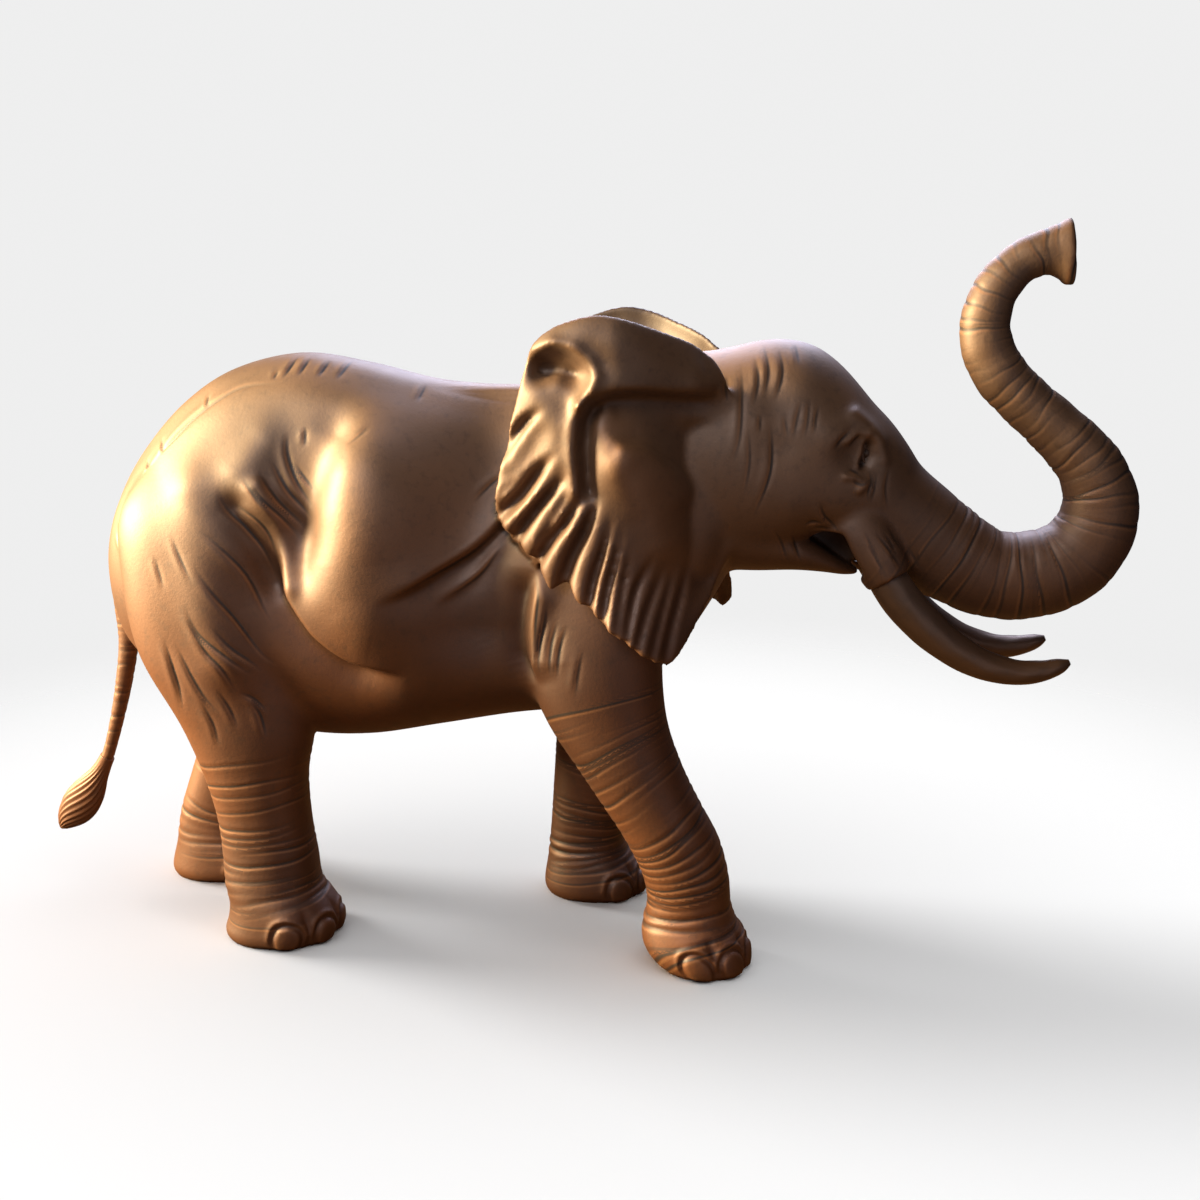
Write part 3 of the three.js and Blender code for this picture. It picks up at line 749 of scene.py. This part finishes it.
FLANK_FOLDS = [
    (10, 6, [(-728, 1308), (-728, 1244), (-699, 1174), (-659, 1115)]),
    (10, 6, [(-800, 1215), (-749, 1143), (-680, 1062)]),
    (9, 6, [(-768, 1240), (-723, 1161), (-662, 1090)]),
    (7, 5, [(-714, 1232), (-685, 1192), (-655, 1158)]),
    (6, 5, [(-688, 1315), (-686, 1262)]),
    (9, 6, [(-819, 1195), (-785, 1148), (-739, 1101), (-693, 1036)]),
    (6, 5, [(-832, 1195), (-798, 1148), (-775, 1112)]),
    (9, 6, [(-894, 1176), (-873, 1122), (-826, 1075), (-780, 1016), (-759, 949)]),
    (8, 6, [(-938, 1073), (-891, 1037), (-832, 972), (-788, 881), (-759, 832)]),
    (8, 6, [(-860, 1135), (-806, 1100), (-772, 1058), (-751, 992)]),
    (6, 5, [(-1008, 1059), (-980, 999), (-947, 938)]),
    (9, 6, [(-955, 999), (-910, 927), (-852, 854), (-794, 769), (-746, 732)]),
    (8, 6, [(-975, 900), (-942, 826), (-882, 772), (-810, 711)]),
    (9, 6, [(-971, 863), (-926, 783), (-884, 734), (-850, 665)]),
    (7, 5, [(-909, 846), (-868, 791), (-820, 749), (-791, 718)]),
    (9, 7, [(-1035, 811), (-1018, 736), (-1004, 672), (-1001, 608)]),
    (8, 6, [(-1004, 799), (-968, 718), (-934, 656), (-892, 613)]),
    (5, 5, [(-1055, 1009), (-1039, 966), (-1023, 917)]),
    (8, 6, [(-826, 654), (-803, 616), (-790, 552)]),
    (7, 6, [(-850, 678), (-813, 654), (-784, 617)]),
    (6, 6, [(-906, 689), (-872, 626), (-856, 575)]),
    (6, 6, [(-953, 662), (-919, 586), (-910, 521)]),
    (4, 6, [(-520, 1317), (-540, 1291), (-572, 1268)]),
    (10, 6, [(-185, 1120), (-262, 1040), (-343, 985), (-442, 931)]),
    (7, 5, [(-195, 1062), (-242, 987), (-290, 944), (-339, 915)]),
    (6, 6, [(-185, 1245), (-232, 1206), (-275, 1152)]),
    (9, 8, [(-118, 991), (-111, 939), (-117, 867), (-122, 790)]),
    (9, 7, [(-88, 925), (-95, 872), (-105, 814), (-106, 735)]),
    (9, 7, [(-62, 885), (-79, 815), (-82, 736)]),
    (8, 7, [(-38, 875), (-58, 815), (-65, 730)]),
    (5, 6, [(0, 820), (-12, 760), (-20, 690)]),
]
SPINE_FOLDS = [
    (5, 5, [(-780, 1438), (-788, 1415)]),
    (7, 5, [(-741, 1472), (-764, 1416)]),
    (7, 5, [(-708, 1470), (-727, 1422)]),
    (7, 5, [(-659, 1462), (-676, 1421)]),
    (7, 5, [(-609, 1462), (-629, 1415)]),
    (5, 5, [(-417, 1408), (-428, 1364)]),
    (5, 4, [(-962, 1378), (-955, 1346)]),
    (5, 4, [(-1084, 1272), (-1072, 1238)]),
    (5, 4, [(-1075, 1265), (-1064, 1232)]),
    (5, 4, [(-1121, 1222), (-1107, 1186)]),
    (5, 4, [(-1113, 1216), (-1097, 1184)]),
    (5, 4, [(-1172, 1150), (-1134, 1112)]),
    (5, 4, [(-1190, 1099), (-1161, 1066)]),
    (5, 4, [(-1202, 1074), (-1180, 1030)]),
    (5, 4, [(-1212, 1042), (-1187, 980)]),
    (7, 5, [(-720, 1410), (-791, 1406), (-868, 1395), (-933, 1361), (-993, 1317), (-1042, 1267),
            (-1085, 1210), (-1122, 1147), (-1153, 1083), (-1170, 1013), (-1176, 930), (-1190, 840)]),
]
FACE_FOLDS = [
    (5, 6, [(313, 1440), (319, 1375)]),
    (6, 6, [(344, 1475), (352, 1393), (350, 1300), (331, 1229)]),
    (6, 5, [(375, 1484), (388, 1428), (377, 1366)]),
    (6, 5, [(394, 1512), (410, 1452), (403, 1384)]),
    (6, 5, [(429, 1506), (443, 1446), (426, 1373)]),
    (4, 5, [(469, 1512), (483, 1460)]),
    (8, 6, [(418, 1350), (425, 1260), (415, 1195), (380, 1105)]),
    (5, 5, [(396, 1358), (395, 1308)]),
    (5, 5, [(368, 1330), (374, 1250), (362, 1160)]),
    (5, 5, [(490, 1390), (478, 1334), (472, 1290)]),
    (5, 5, [(507, 1392), (504, 1335), (496, 1296)]),
    (5, 5, [(530, 1380), (523, 1345), (520, 1305)]),
    (4, 5, [(450, 1355), (461, 1297)]),
    (6, 5, [(608, 1320), (579, 1292), (565, 1268)]),
    (6, 5, [(630, 1311), (611, 1294), (599, 1275)]),
    (5, 4, [(598, 1228), (618, 1219), (630, 1208)]),
    (6, 5, [(605, 1206), (631, 1190), (648, 1200)]),
    (6, 4, [(650, 1228), (655, 1197), (649, 1174), (650, 1148)]),
    (5, 4, [(666, 1224), (665, 1187), (661, 1166), (654, 1140)]),
    (4, 5, [(700, 1240), (690, 1180), (700, 1120)]),
    (6, 4, [(664, 1084), (697, 1046), (738, 988)]),
    (6, 4, [(684, 1084), (707, 1052), (727, 1014)]),
    (5, 4, [(694, 1094), (717, 1060), (739, 1028)]),
    (5, 4, [(652, 1055), (680, 1008), (702, 968)]),
    (4, 4, [(744, 1050), (768, 1008), (790, 972)]),
    (4, 4, [(640, 1090), (660, 1050), (686, 1005)]),
    (9, 6, [(536, 1158), (548, 1121), (567, 1097), (592, 1068)]),
    (7, 4, [(500, 1090), (520, 1102), (552, 1098)]),
    (6, 4, [(520, 1085), (575, 1084)]),
    (6, 4, [(522, 1069), (580, 1070)]),
    (6, 6, [(472, 1075), (488, 1031), (502, 990)]),
    (5, 5, [(430, 1090), (455, 1040), (470, 990)]),
]
EYE_FORMS = [
    (-17, 11, [(645, 1280), (644, 1258), (636, 1238)]),  # socket
    (7, 7, [(635, 1288), (629, 1260), (622, 1232)]),  # lid behind it
    (9, 16, [(612, 1352), (645, 1322), (672, 1286), (682, 1245)]),  # brow
    (6, 9, [(594, 1292), (618, 1310), (642, 1306)]),  # fold over the eye
    (7, 8, [(594, 1209), (621, 1204), (638, 1193), (627, 1177)]),  # bag under the eye
]
EYE = (642, 1259)
NAIL_RADIUS = 33
NAIL_HEIGHT = 32
SOLE_HEIGHT = 3  # what lies below this is pressed flat on the ground
PAINTED_SHADE = 0.3  # painted shade: the darkest hollow value, put in the mouth, on the backs of the ears and on the eyeballs


def foot_relief(name, z, angle, radius):
    """Toe lobes, clefts between them, and nails in their folds, round the front of one foot."""
    total = np.zeros(len(z))
    turned = (angle - math.radians(FOOT_YAW[name]) + math.pi) % (2 * math.pi) - math.pi
    low = 1 - smooth(z, 70, 125)
    for degrees in NAIL_ANGLES:
        off = (turned - math.radians(degrees)) * radius
        total += 7 * low * bell(off, 44)
        ring = np.hypot(off, z - NAIL_HEIGHT) / NAIL_RADIUS
        total += 4.5 * (1 - smooth(ring, 0.8, 1.04))
        total -= 4.5 * bell(ring - 1.14, 0.13) * smooth(z, 6, 20)
        total += 4 * bell(ring - 1.45, 0.16) * smooth(z, 20, 40)
    for degrees in (-41, 0, 41):
        off = (turned - math.radians(degrees)) * radius
        total -= 5 * (1 - smooth(z, 78, 112)) * bell(off, 9)
    return total


def add_folds(skin, normal, height, lines):
    """Forms, edges and folds of the body and the head. The sheets of the ears are left as they are."""
    x, y, z = skin.points.T
    sides = smooth(np.abs(normal[:, 1]), 0.12, 0.45)
    depth = ear_reach(x, z) - np.abs(y)
    on_sheet = (depth < EAR_OUTER_DEPTH) | ((depth < EAR_INNER_DEPTH) & (y * normal[:, 1] < 0))
    covered = on_sheet & inside(EAR_OUTLINE, x + 6, z + 6)

    body = np.flatnonzero((x < 330) & (z > 520) & ~covered)
    forms = strokes(SKIN_FORMS, x[body], z[body]) + ledges(SKIN_LEDGES, x[body], z[body])
    height[body] += sides[body] * forms
    height[body] += folds(FLANK_FOLDS, x[body], z[body], sides[body], body, lines)

    top = np.flatnonzero((x < -400) & (np.abs(y) < 150))
    height[top] += folds(SPINE_FOLDS, x[top], z[top], smooth(np.abs(y[top]), 18, 40), top, lines)

    head = np.flatnonzero((x > 300) & (x < 840) & (z > 930))
    side = smooth(np.abs(normal[head, 1]), 0.05, 0.4)
    height[head] += side * strokes(EYE_FORMS, x[head], z[head])
    height[head] += folds(FACE_FOLDS, x[head], z[head], side, head, lines)


def add_trunk_rings(skin, height, lines):
    """Rings along the trunk, deeper inside its bend, weaker where it rises, over low swellings."""
    x, _, z = skin.points.T
    trunk = np.flatnonzero((x > 620) & (z > 820))
    run, angle, share = trunk_frame(skin.points[trunk])
    on = (1 - smooth(share, 1.25, 1.5)) * between(run, 40, 140, 1845, 1905)
    upper = smooth(run, 820, 960)
    inner = 0.45 + 0.75 * smooth(np.cos(angle), -0.6, 0.5)
    places = ring_places(30, 1900, 21, 37)
    fine = rings(run, angle, places, 5.0, 5.0, 6, trunk, lines, cover=0.6, drawn=1.0)
    height[trunk] += on * fine * ((1 - upper) * inner + 0.5 * upper)
    height[trunk] += on * 0.8 * np.cos(2 * math.pi * run / TRUNK_WAVE + 1.3 * np.sin(angle + 0.6))


def add_leg_rings(skin, name, stations, height, lines):
    """Rings up one leg, deeper ones round its ankle, and its toes."""
    leg = np.flatnonzero(skin.points[:, 2] < 760)
    angle, share, radius, place = leg_frame(skin.points[leg], stations)
    close = share < 1.3
    leg, angle, radius, place = leg[close], angle[close], radius[close], place[close]
    z = skin.points[leg, 2]
    on = between(z, 60, 100, 470, 640)
    ankle = bell(z - 125, 34)
    top, cover = (680, 0.55) if "front" in name else (470, 0.3)
    places = ring_places(60, top, 15, 25)
    fine = rings(place, angle, places, 4.5, 3.4, 5, leg, lines, cover=cover, drawn=1.0)
    places = ring_places(92, 160, 20, 30)
    deep = rings(place, angle, places, 7, 5.0, 5, leg, lines, cover=0.6)
    height[leg] += on * fine + ankle * deep
    height[leg] += foot_relief(name, z, angle, radius)


def add_tail_rings(skin, height, lines):
    x, y, z = skin.points.T
    tail = np.flatnonzero((x < -1180) & (z < 900) & (np.abs(y) < 45))
    places = ring_places(380, 860, 16, 26)
    angle = np.arctan2(y[tail], x[tail] + 1280)
    fine = rings(z[tail], angle, places, 5.5, 2.6, 3, tail, lines, cover=0.6)
    height[tail] += (1 - smooth(z[tail], 780, 900)) * fine


def wrinkle(skin):
    """Presses everything finer than the fused forms into the skin, and gives back the fold lines."""
    normal = skin.normals()
    height = np.zeros(len(skin.points))
    lines = Lines(len(skin.points))
    add_folds(skin, normal, height, lines)
    add_trunk_rings(skin, height, lines)
    for name, stations in LEGS.items():
        add_leg_rings(skin, name, stations, height, lines)
    add_tail_rings(skin, height, lines)
    height = height * smooth(skin.points[:, 2], 0, 14)
    skin.points += normal * height[:, None]
    skin.soften(1)
    skin.points[:, 2] = np.where(skin.points[:, 2] < SOLE_HEIGHT, 0, skin.points[:, 2])
    return lines


def soften_joins(skin):
    """Rounds off the seams that the fused bodies leave at haunch, shoulder, ear root, neck, lip and rump."""
    x, y, z = skin.points.T
    far = np.abs(y)
    skin.soften(4)
    haunch = between(z, 500, 640, 1180, 1300) * smooth(-x, 560, 700) * smooth(x, -1230, -1180)
    shoulder = between(z, 520, 640, 1150, 1300) * between(x, -240, -170, 230, 290)
    shoulder = shoulder * (far < ear_reach(x, z) - 45)
    skin.soften(50, np.maximum(haunch, shoulder) * smooth(far, 20, 70))
    x, y, z = skin.points.T
    far = np.abs(y)
    both_sides = np.stack([x, far, z], -1)
    root = blob(both_sides, (335, 170, 1290), (75, 110, 320))
    neck = blob(both_sides, (340, 90, 1080), (170, 200, 190))
    lip = blob(both_sides, (640, 90, 1090), (90, 110, 120))
    skin.soften(36, np.maximum(root, neck))
    skin.soften(8, lip)
    rump = blob(np.stack([x, far, z], -1), (-1240, 0, 930), (70, 90, 170))
    skin.soften(30, rump)


def patina_wear_and_painted_light(skin, normal):
    """For the patina and the painted light: above 0 in hollows, darker with patina and with painted shade,
    and set darkest, as painted shade, in the mouth and on the backs of the ears; below 0 on crests, worn
    lighter, and on the middle of the ears, a painted highlight.
    """
    x, y, z = skin.points.T
    # Concavity: hollows darken as patina and also as painted shade.
    hollow = ((skin.around(skin.points) - skin.points) * normal).sum(1) / VOXEL
    for _ in range(2):
        hollow = skin.around(hollow)
    # Painted shade: the mouth and the backs of the ears get the darkest value.
    hollow[inside(MOUTH, x, z) & (np.abs(y) < 90)] = PAINTED_SHADE
    behind_ear = inside(EAR_OUTLINE, x, z) & (y * normal[:, 1] < 0) & (np.abs(y) > 150)
    hollow[behind_ear] = PAINTED_SHADE
    on_ear = (np.abs(y) > ear_reach(x, z) - EAR_SHEET_DEPTH) & ~behind_ear
    # Painted highlight: lower values lighten the smooth middle of each ear.
    return hollow + on_ear * strokes([EAR_PAINTED_HIGHLIGHT], x, z)


casting = fused_casting()
skin = Skin(casting.data)
bpy.data.objects.remove(casting)
soften_joins(skin)
lines = wrinkle(skin)
normal = skin.normals()
hollow = patina_wear_and_painted_light(skin, normal)


# Sections of the casting

SECTION_COUNT = 6  # so that no piece is too heavy for one mesh


def section(name, quads):
    """Some quads of the skin as a piece, with the whole skin's shading, and its hollow and line values for
    the patina, the wear, the painted shade and the painted highlights.
    """
    used, corners = np.unique(quads, return_inverse=True)
    mesh = bpy.data.meshes.new(name)
    mesh.vertices.add(len(used))
    mesh.vertices.foreach_set("co", to_part_frame(skin.points[used]).astype(np.float32).ravel())
    mesh.loops.add(corners.size)
    mesh.loops.foreach_set("vertex_index", corners.astype(np.int32).ravel())
    mesh.polygons.add(len(quads))
    mesh.polygons.foreach_set("loop_start", np.arange(0, corners.size, 4, dtype=np.int32))
    mesh.update(calc_edges=True)
    mesh.polygons.foreach_set("use_smooth", np.ones(len(quads), bool))
    mesh.normals_split_custom_set_from_vertices(normal[used].tolist())
    tone = mesh.attributes.new("hollow", "FLOAT", "POINT")
    tone.data.foreach_set("value", hollow[used].astype(np.float32))
    line = mesh.attributes.new("line", "FLOAT_VECTOR", "POINT")
    nearest = np.stack([lines.across[used], lines.away[used], lines.strength[used]], -1)
    line.data.foreach_set("vector", nearest.astype(np.float32).ravel())
    return in_scene(name, mesh)


middle = skin.points[skin.quads, 0].mean(1)
cuts = np.quantile(middle, np.linspace(0, 1, SECTION_COUNT + 1))
cuts[-1] += 1
sections = [
    section(f"casting_{k + 1}", skin.quads[(middle >= cuts[k]) & (middle < cuts[k + 1])])
    for k in range(SECTION_COUNT)
]


# Tusks, tuft and eyes

def smooth_piece(name, points, faces):
    piece = mesh_object(name, points, faces)
    piece.data.polygons.foreach_set("use_smooth", np.ones(len(faces), bool))
    return piece


def tusk(name, stations):
    def relief(t, angle, points):
        worn = 0.25 * np.sin(9 * angle + 30 * t) + 0.3 * np.sin(4 * angle - 50 * t)
        return worn * (1 - smooth(t, 0.8, 1))

    return smooth_piece(name, *loft(stations, 110, 40, relief=relief))


tusks = [tusk("tusk_right", TUSK), tusk("tusk_left", mirrored(TUSK, LEFT_TUSK_SETBACK))]


TUFT_COVER = 1.5  # how far its hair stands off the core of the tail


def tuft():
    """The leaf-shaped tuft at the end of the tail, with its hair drawn along it."""

    def relief(t, angle, points):
        lean = angle + 2.2 * t
        hair = np.abs(np.sin(9 * lean)) + 0.5 * np.abs(np.sin(17 * lean + 1.1))
        return (2.8 * hair - 1.2) * between(t, 0.05, 0.3, 0.93, 1)

    stations = [[*row[:3], *(reach + TUFT_COVER for reach in row[3:])] for row in TAIL[5:]]
    return smooth_piece("tail_tuft", *loft(stations, 70, 108, relief=relief))


tail_tuft = tuft()


EYEBALL_RADIUS = 12
LID_ARC = (75, 285)  # degrees round the eye, from above it, round the back, to below it
LID_HALF_WIDTH, LID_HALF_HEIGHT = 9, 22
LID_STAND_OUT = 8  # from the middle of the eyeball outwards


def eye(name, side):
    """An eyeball level with the skin, with a ridge of lid round its back."""
    x, y, z = skin.points.T
    close = (np.hypot(x - EYE[0], z - EYE[1]) < 8) & (side * y > 0)
    depth = side * (np.abs(y[close]).max() - EYEBALL_RADIUS)
    ball = []
    for turn in np.linspace(0.05, math.pi - 0.05, 9):
        radius = EYEBALL_RADIUS * math.sin(turn)
        ball.append([EYE[0], depth, EYE[1] + EYEBALL_RADIUS * math.cos(turn), radius, radius, radius])
    lid = []
    for share in np.linspace(0, 1, 9):
        turn = math.radians(LID_ARC[0] + share * (LID_ARC[1] - LID_ARC[0]))
        thick = 1.5 + 4 * math.sin(math.pi * share)
        across, upward = LID_HALF_WIDTH * math.cos(turn), LID_HALF_HEIGHT * math.sin(turn)
        lid.append([EYE[0] + across, depth + side * LID_STAND_OUT, EYE[1] + upward, thick, thick, thick])
    eyeball = smooth_piece(f"eyeball_{name}", *loft(ball, 16, 20, facing=(0, 0, -1)))
    # Painted shade: the eyeball gets the darkest hollow value, so that it reads as the shaded slit of the
    # eye.
    dark = eyeball.data.attributes.new("hollow", "FLOAT", "POINT")
    dark.data.foreach_set("value", np.full(len(eyeball.data.vertices), PAINTED_SHADE, np.float32))
    return [eyeball, smooth_piece(f"eyelid_{name}", *loft(lid, 24, 12, facing=(0, 0, -1)))]


eyes = eye("right", -1) + eye("left", 1)


# Bronze

LOW_PAINTED_SHADE = (0.88, 0.6, 0.22)  # painted shade and warm floor bounce: the bronze is darker and redder low down
HIGH_PAINTED_SHEEN = (1.0, 1.2, 1.6)  # painted reflection of the cool sky: greyer and bluer higher up


class Graph:
    """The node graph of a material or of the world."""

    def __init__(self, owner):
        owner.use_nodes = True
        self.nodes = owner.node_tree.nodes
        self.links = owner.node_tree.links

    def put(self, socket, value):
        """Sets a socket to a number or a colour, or links it to another node's output."""
        if isinstance(value, bpy.types.NodeSocket):
            self.links.new(value, socket)
        elif isinstance(value, tuple):
            socket.default_value = (*value, 1)
        else:
            socket.default_value = value

    def add(self, kind, output, inputs=None, **settings):
        """A new node with those settings and inputs, given back as one of its outputs."""
        node = self.nodes.new("ShaderNode" + kind)
        for key, value in settings.items():
            setattr(node, key, value)
        for key, value in (inputs or {}).items():
            self.put(node.inputs[key], value)
        return node.outputs[output]


def tinted(colour, tint):
    """A colour times a number, or times another colour."""
    return tuple(np.minimum(1, np.multiply(colour, tint)).tolist())


def bronze(name, low, high, roughness, grain):
    """A cast bronze: patina that drifts from place to place between two colours, with painted shade making it
    darker and redder low down and a painted cool sky reflection making it greyer higher up; darker in
    hollows, as patina and as painted shade; worn lighter on crests; a painted shade line in the core of each
    fold line and a painted highlight beside it. Heights are metres, distances from a line millimetres."""
    material = bpy.data.materials.new(name)
    graph = Graph(material)
    place = graph.add("TexCoord", "Object")

    def noise(scale, detail, rough=0.55):
        return graph.add("TexNoise", "Fac", {
            "Vector": place, "Scale": scale, "Detail": detail, "Roughness": rough,
        })

    def span(value, from_low, from_high, to_low, to_high):
        return graph.add("MapRange", "Result", {
            "Value": value, "From Min": from_low, "From Max": from_high, "To Min": to_low, "To Max": to_high,
        })

    def mixed(share, a, b):
        return graph.add("Mix", "Result", {"Factor": share, "A": a, "B": b}, data_type="RGBA")

    def product(a, b):
        return graph.add("Math", "Value", {0: a, 1: b}, operation="MULTIPLY")

    drift = span(noise(1.7, 3), 0.35, 0.68, 0, 1)
    # Painted light by height over the drifting patina: painted shade low down, painted sky reflection high
    # up.
    below = mixed(drift, tinted(low, LOW_PAINTED_SHADE), tinted(high, LOW_PAINTED_SHADE))
    above = mixed(drift, tinted(low, HIGH_PAINTED_SHEEN), tinted(high, HIGH_PAINTED_SHEEN))
    height = graph.add("SeparateXYZ", "Z", {"Vector": place})
    patina = mixed(span(height, 0.7, 1.3, 0, 1), below, above)
    specks = mixed(span(noise(38, 4, 0.7), 0.52, 0.75, 0, 0.45), patina, tinted(low, 0.45))
    hollows = graph.add("Attribute", "Fac", attribute_name="hollow")
    # Darker in hollows: patina and painted shade; darkest, as painted shade, in the mouth, on the ear backs
    # and on the eyeballs.
    fold = mixed(span(hollows, 0.02, 0.18, 0, 0.75), specks, tinted(low, 0.3))
    # Lighter on crests, where the bronze is worn, and on the middle of the ears, a painted highlight.
    crest = mixed(span(hollows, -0.02, -0.2, 0, 0.5), fold, tinted(high, 1.5))

    nearest = graph.add("Attribute", "Vector", attribute_name="line")
    across, away, strength = graph.add("SeparateXYZ", "X", {"Vector": nearest}).node.outputs
    # Painted highlight: a light line beside each fold line, on its swollen side.
    beside = product(span(across, -11, -6, 0, 1), span(across, -6, -3, 1, 0))
    ridge = product(product(beside, span(away, 9, 12, 1, 0)), strength)
    line_highlight = mixed(span(ridge, 0, 1, 0, 0.6), crest, tinted(high, 1.7))
    # Painted shade: a dark line along the core of each fold line.
    core = product(span(product(across, across), 1, 13, 1, 0), span(away, 5, 8, 1, 0))
    with_line_shade = mixed(span(product(core, strength), 0, 1, 0, 0.92), line_highlight, tinted(low, 0.1))

    bump = {"Strength": 0.5, "Distance": grain, "Height": noise(120, 6, 0.62)}
    finish = {
        "Base Color": with_line_shade,
        "Metallic": 0.3,
        "Roughness": span(noise(9, 5, 0.6), 0.3, 0.7, roughness - 0.06, roughness + 0.09),
        "Coat Weight": 0.8,
        "Coat IOR": 1.65,
        "Coat Roughness": 0.55,
        "Normal": graph.add("Bump", "Normal", bump),
    }
    for key, value in finish.items():
        graph.put(graph.nodes["Principled BSDF"].inputs[key], value)
    return material


skin_bronze = bronze("skin_bronze", (0.10, 0.041, 0.012), (0.21, 0.092, 0.032), 0.6, 0.0018)
tusk_bronze = bronze("tusk_bronze", (0.105, 0.06, 0.032), (0.16, 0.094, 0.052), 0.42, 0.001)

for piece in sections + [tail_tuft] + eyes:
    piece.data.materials.append(skin_bronze)
    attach(piece, "root")
    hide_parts("elephant")
for piece, node in zip(tusks, ("right_tusk", "left_tusk")):
    piece.data.materials.append(tusk_bronze)
    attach(piece, "root")
    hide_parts(node)


# Studio

PALE = (0.86, 0.86, 0.86)
FLOOR_GLOW = (0.20, 0.09, 0.03)  # what the underside of the bronze picks up from the floor
FLOOR_RADIUS = 9.0
FLOOR_SIDES = 96
FLOOR_FADE = (1.6, 3.6)  # metres from the middle where it begins to fade out and is gone


def studio_floor():
    """A pale round floor that fades out into the backdrop's colour."""
    turns = [2 * math.pi * k / FLOOR_SIDES for k in range(FLOOR_SIDES)]
    rim = [(FLOOR_RADIUS * math.cos(turn), FLOOR_RADIUS * math.sin(turn), 0) for turn in turns]
    mesh = bpy.data.meshes.new("floor")
    mesh.from_pydata(rim, [], [list(range(FLOOR_SIDES))])
    floor = in_scene("floor", mesh)
    material = bpy.data.materials.new("floor")
    graph = Graph(material)
    seen = graph.nodes["Principled BSDF"]
    graph.put(seen.inputs["Base Color"], PALE)
    graph.put(seen.inputs["Roughness"], 1.0)
    graph.put(seen.inputs["Specular IOR Level"], 0)
    glow = graph.add("BsdfDiffuse", "BSDF", {"Color": FLOOR_GLOW})
    in_view = graph.add("LightPath", "Is Camera Ray")
    surface = graph.add("MixShader", "Shader", {"Fac": in_view, 1: glow, 2: seen.outputs["BSDF"]})
    place = graph.add("TexCoord", "Object")
    distance = graph.add("VectorMath", "Value", {0: place}, operation="LENGTH")
    span = {"Value": distance, "From Min": FLOOR_FADE[0], "From Max": FLOOR_FADE[1]}
    fade = graph.add("MapRange", "Result", span, interpolation_type="SMOOTHSTEP")
    clear = graph.add("BsdfTransparent", "BSDF")
    mix = graph.add("MixShader", "Shader", {"Fac": fade, 1: surface, 2: clear})
    graph.put(graph.nodes["Material Output"].inputs["Surface"], mix)
    mesh.materials.append(material)
    return floor


def lit_group(name, pieces):
    """A collection for a lamp to light alone, so that warm light on the bronze leaves the floor grey."""
    group = bpy.data.collections.new(name)
    for piece in pieces:
        group.objects.link(piece)
    return group


def lamp(data, place, target, colour, group):
    """A lamp that lights one group alone and isn't seen itself."""
    data.color = colour
    light = in_scene(data.name, data)
    light.location = place
    light.rotation_euler = (Vector(target) - Vector(place)).to_track_quat("-Z", "Y").to_euler()
    light.light_linking.receiver_collection = group
    light.visible_camera = False


def area_light(name, place, target, size, power, colour, group):
    data = bpy.data.lights.new(name, "AREA")
    data.shape = "DISK"
    data.size = size
    data.energy = power
    lamp(data, place, target, colour, group)


def far_light(name, place, spread, strength, group):
    """Neutral light of even strength from one side, spread over an angle in degrees."""
    data = bpy.data.lights.new(name, "SUN")
    data.angle = math.radians(spread)
    data.energy = strength
    lamp(data, place, (0, 0, 0), (1, 1, 1), group)


def backdrop(seen, lighting):
    """The world: one colour behind the object, and a dimmer one that lights it."""
    world = bpy.data.worlds.new("studio")
    bpy.context.scene.world = world
    graph = Graph(world)
    shown = graph.nodes["Background"]
    graph.put(shown.inputs["Color"], seen)
    lit = graph.add("Background", "Background", {"Color": lighting})
    in_view = graph.add("LightPath", "Is Camera Ray")
    mix = graph.add("MixShader", "Shader", {"Fac": in_view, 1: lit, 2: shown.outputs["Background"]})
    graph.put(graph.nodes["World Output"].inputs["Surface"], mix)


floor = studio_floor()
backdrop(PALE, (0.018, 0.017, 0.021))
on_bronze = lit_group("lit_bronze", sections + [tail_tuft] + eyes + tusks)
on_floor = lit_group("lit_floor", [floor])
area_light("key", (-5.4, -0.9, 2.5), (-0.3, 0, 0.85), 2.6, 1650, (1.0, 0.77, 0.44), on_bronze)
area_light("sky", (0.1, 3.0, 4.0), (0.1, 0, 0.9), 4.0, 265, (0.74, 0.77, 1.0), on_bronze)
area_light("front", (-1.8, -3.4, 3.9), (0.2, 0, 1.0), 3.0, 102, (1.0, 0.93, 0.93), on_bronze)
area_light("low", (2.4, -3.6, 1.3), (0.3, 0, 0.9), 2.6, 9, (1.0, 0.88, 0.92), on_bronze)
far_light("floor_side", (-2.7, 0.7, 1.5), 24, 2.4, on_floor)
far_light("floor_top", (0, 0, 1), 110, 2.6, on_floor)

scene = bpy.context.scene
scene.view_settings.view_transform = "Standard"

CAMERA_PLACE = (0.542, -3.553, 1.700)
CAMERA_TURN = 7  # degrees away from square to the animal's side
CAMERA_TILT = 13.2  # degrees downwards
camera_data = bpy.data.cameras.new("camera")
camera_data.lens = 43.5
camera_data.sensor_width = 36
camera = in_scene("camera", camera_data)
camera.location = CAMERA_PLACE
turn, tilt = math.radians(CAMERA_TURN), math.radians(CAMERA_TILT)
look = Vector((-math.sin(turn) * math.cos(tilt), math.cos(turn) * math.cos(tilt), -math.sin(tilt)))
camera.rotation_euler = look.to_track_quat("-Z", "Y").to_euler()
scene.camera = camera
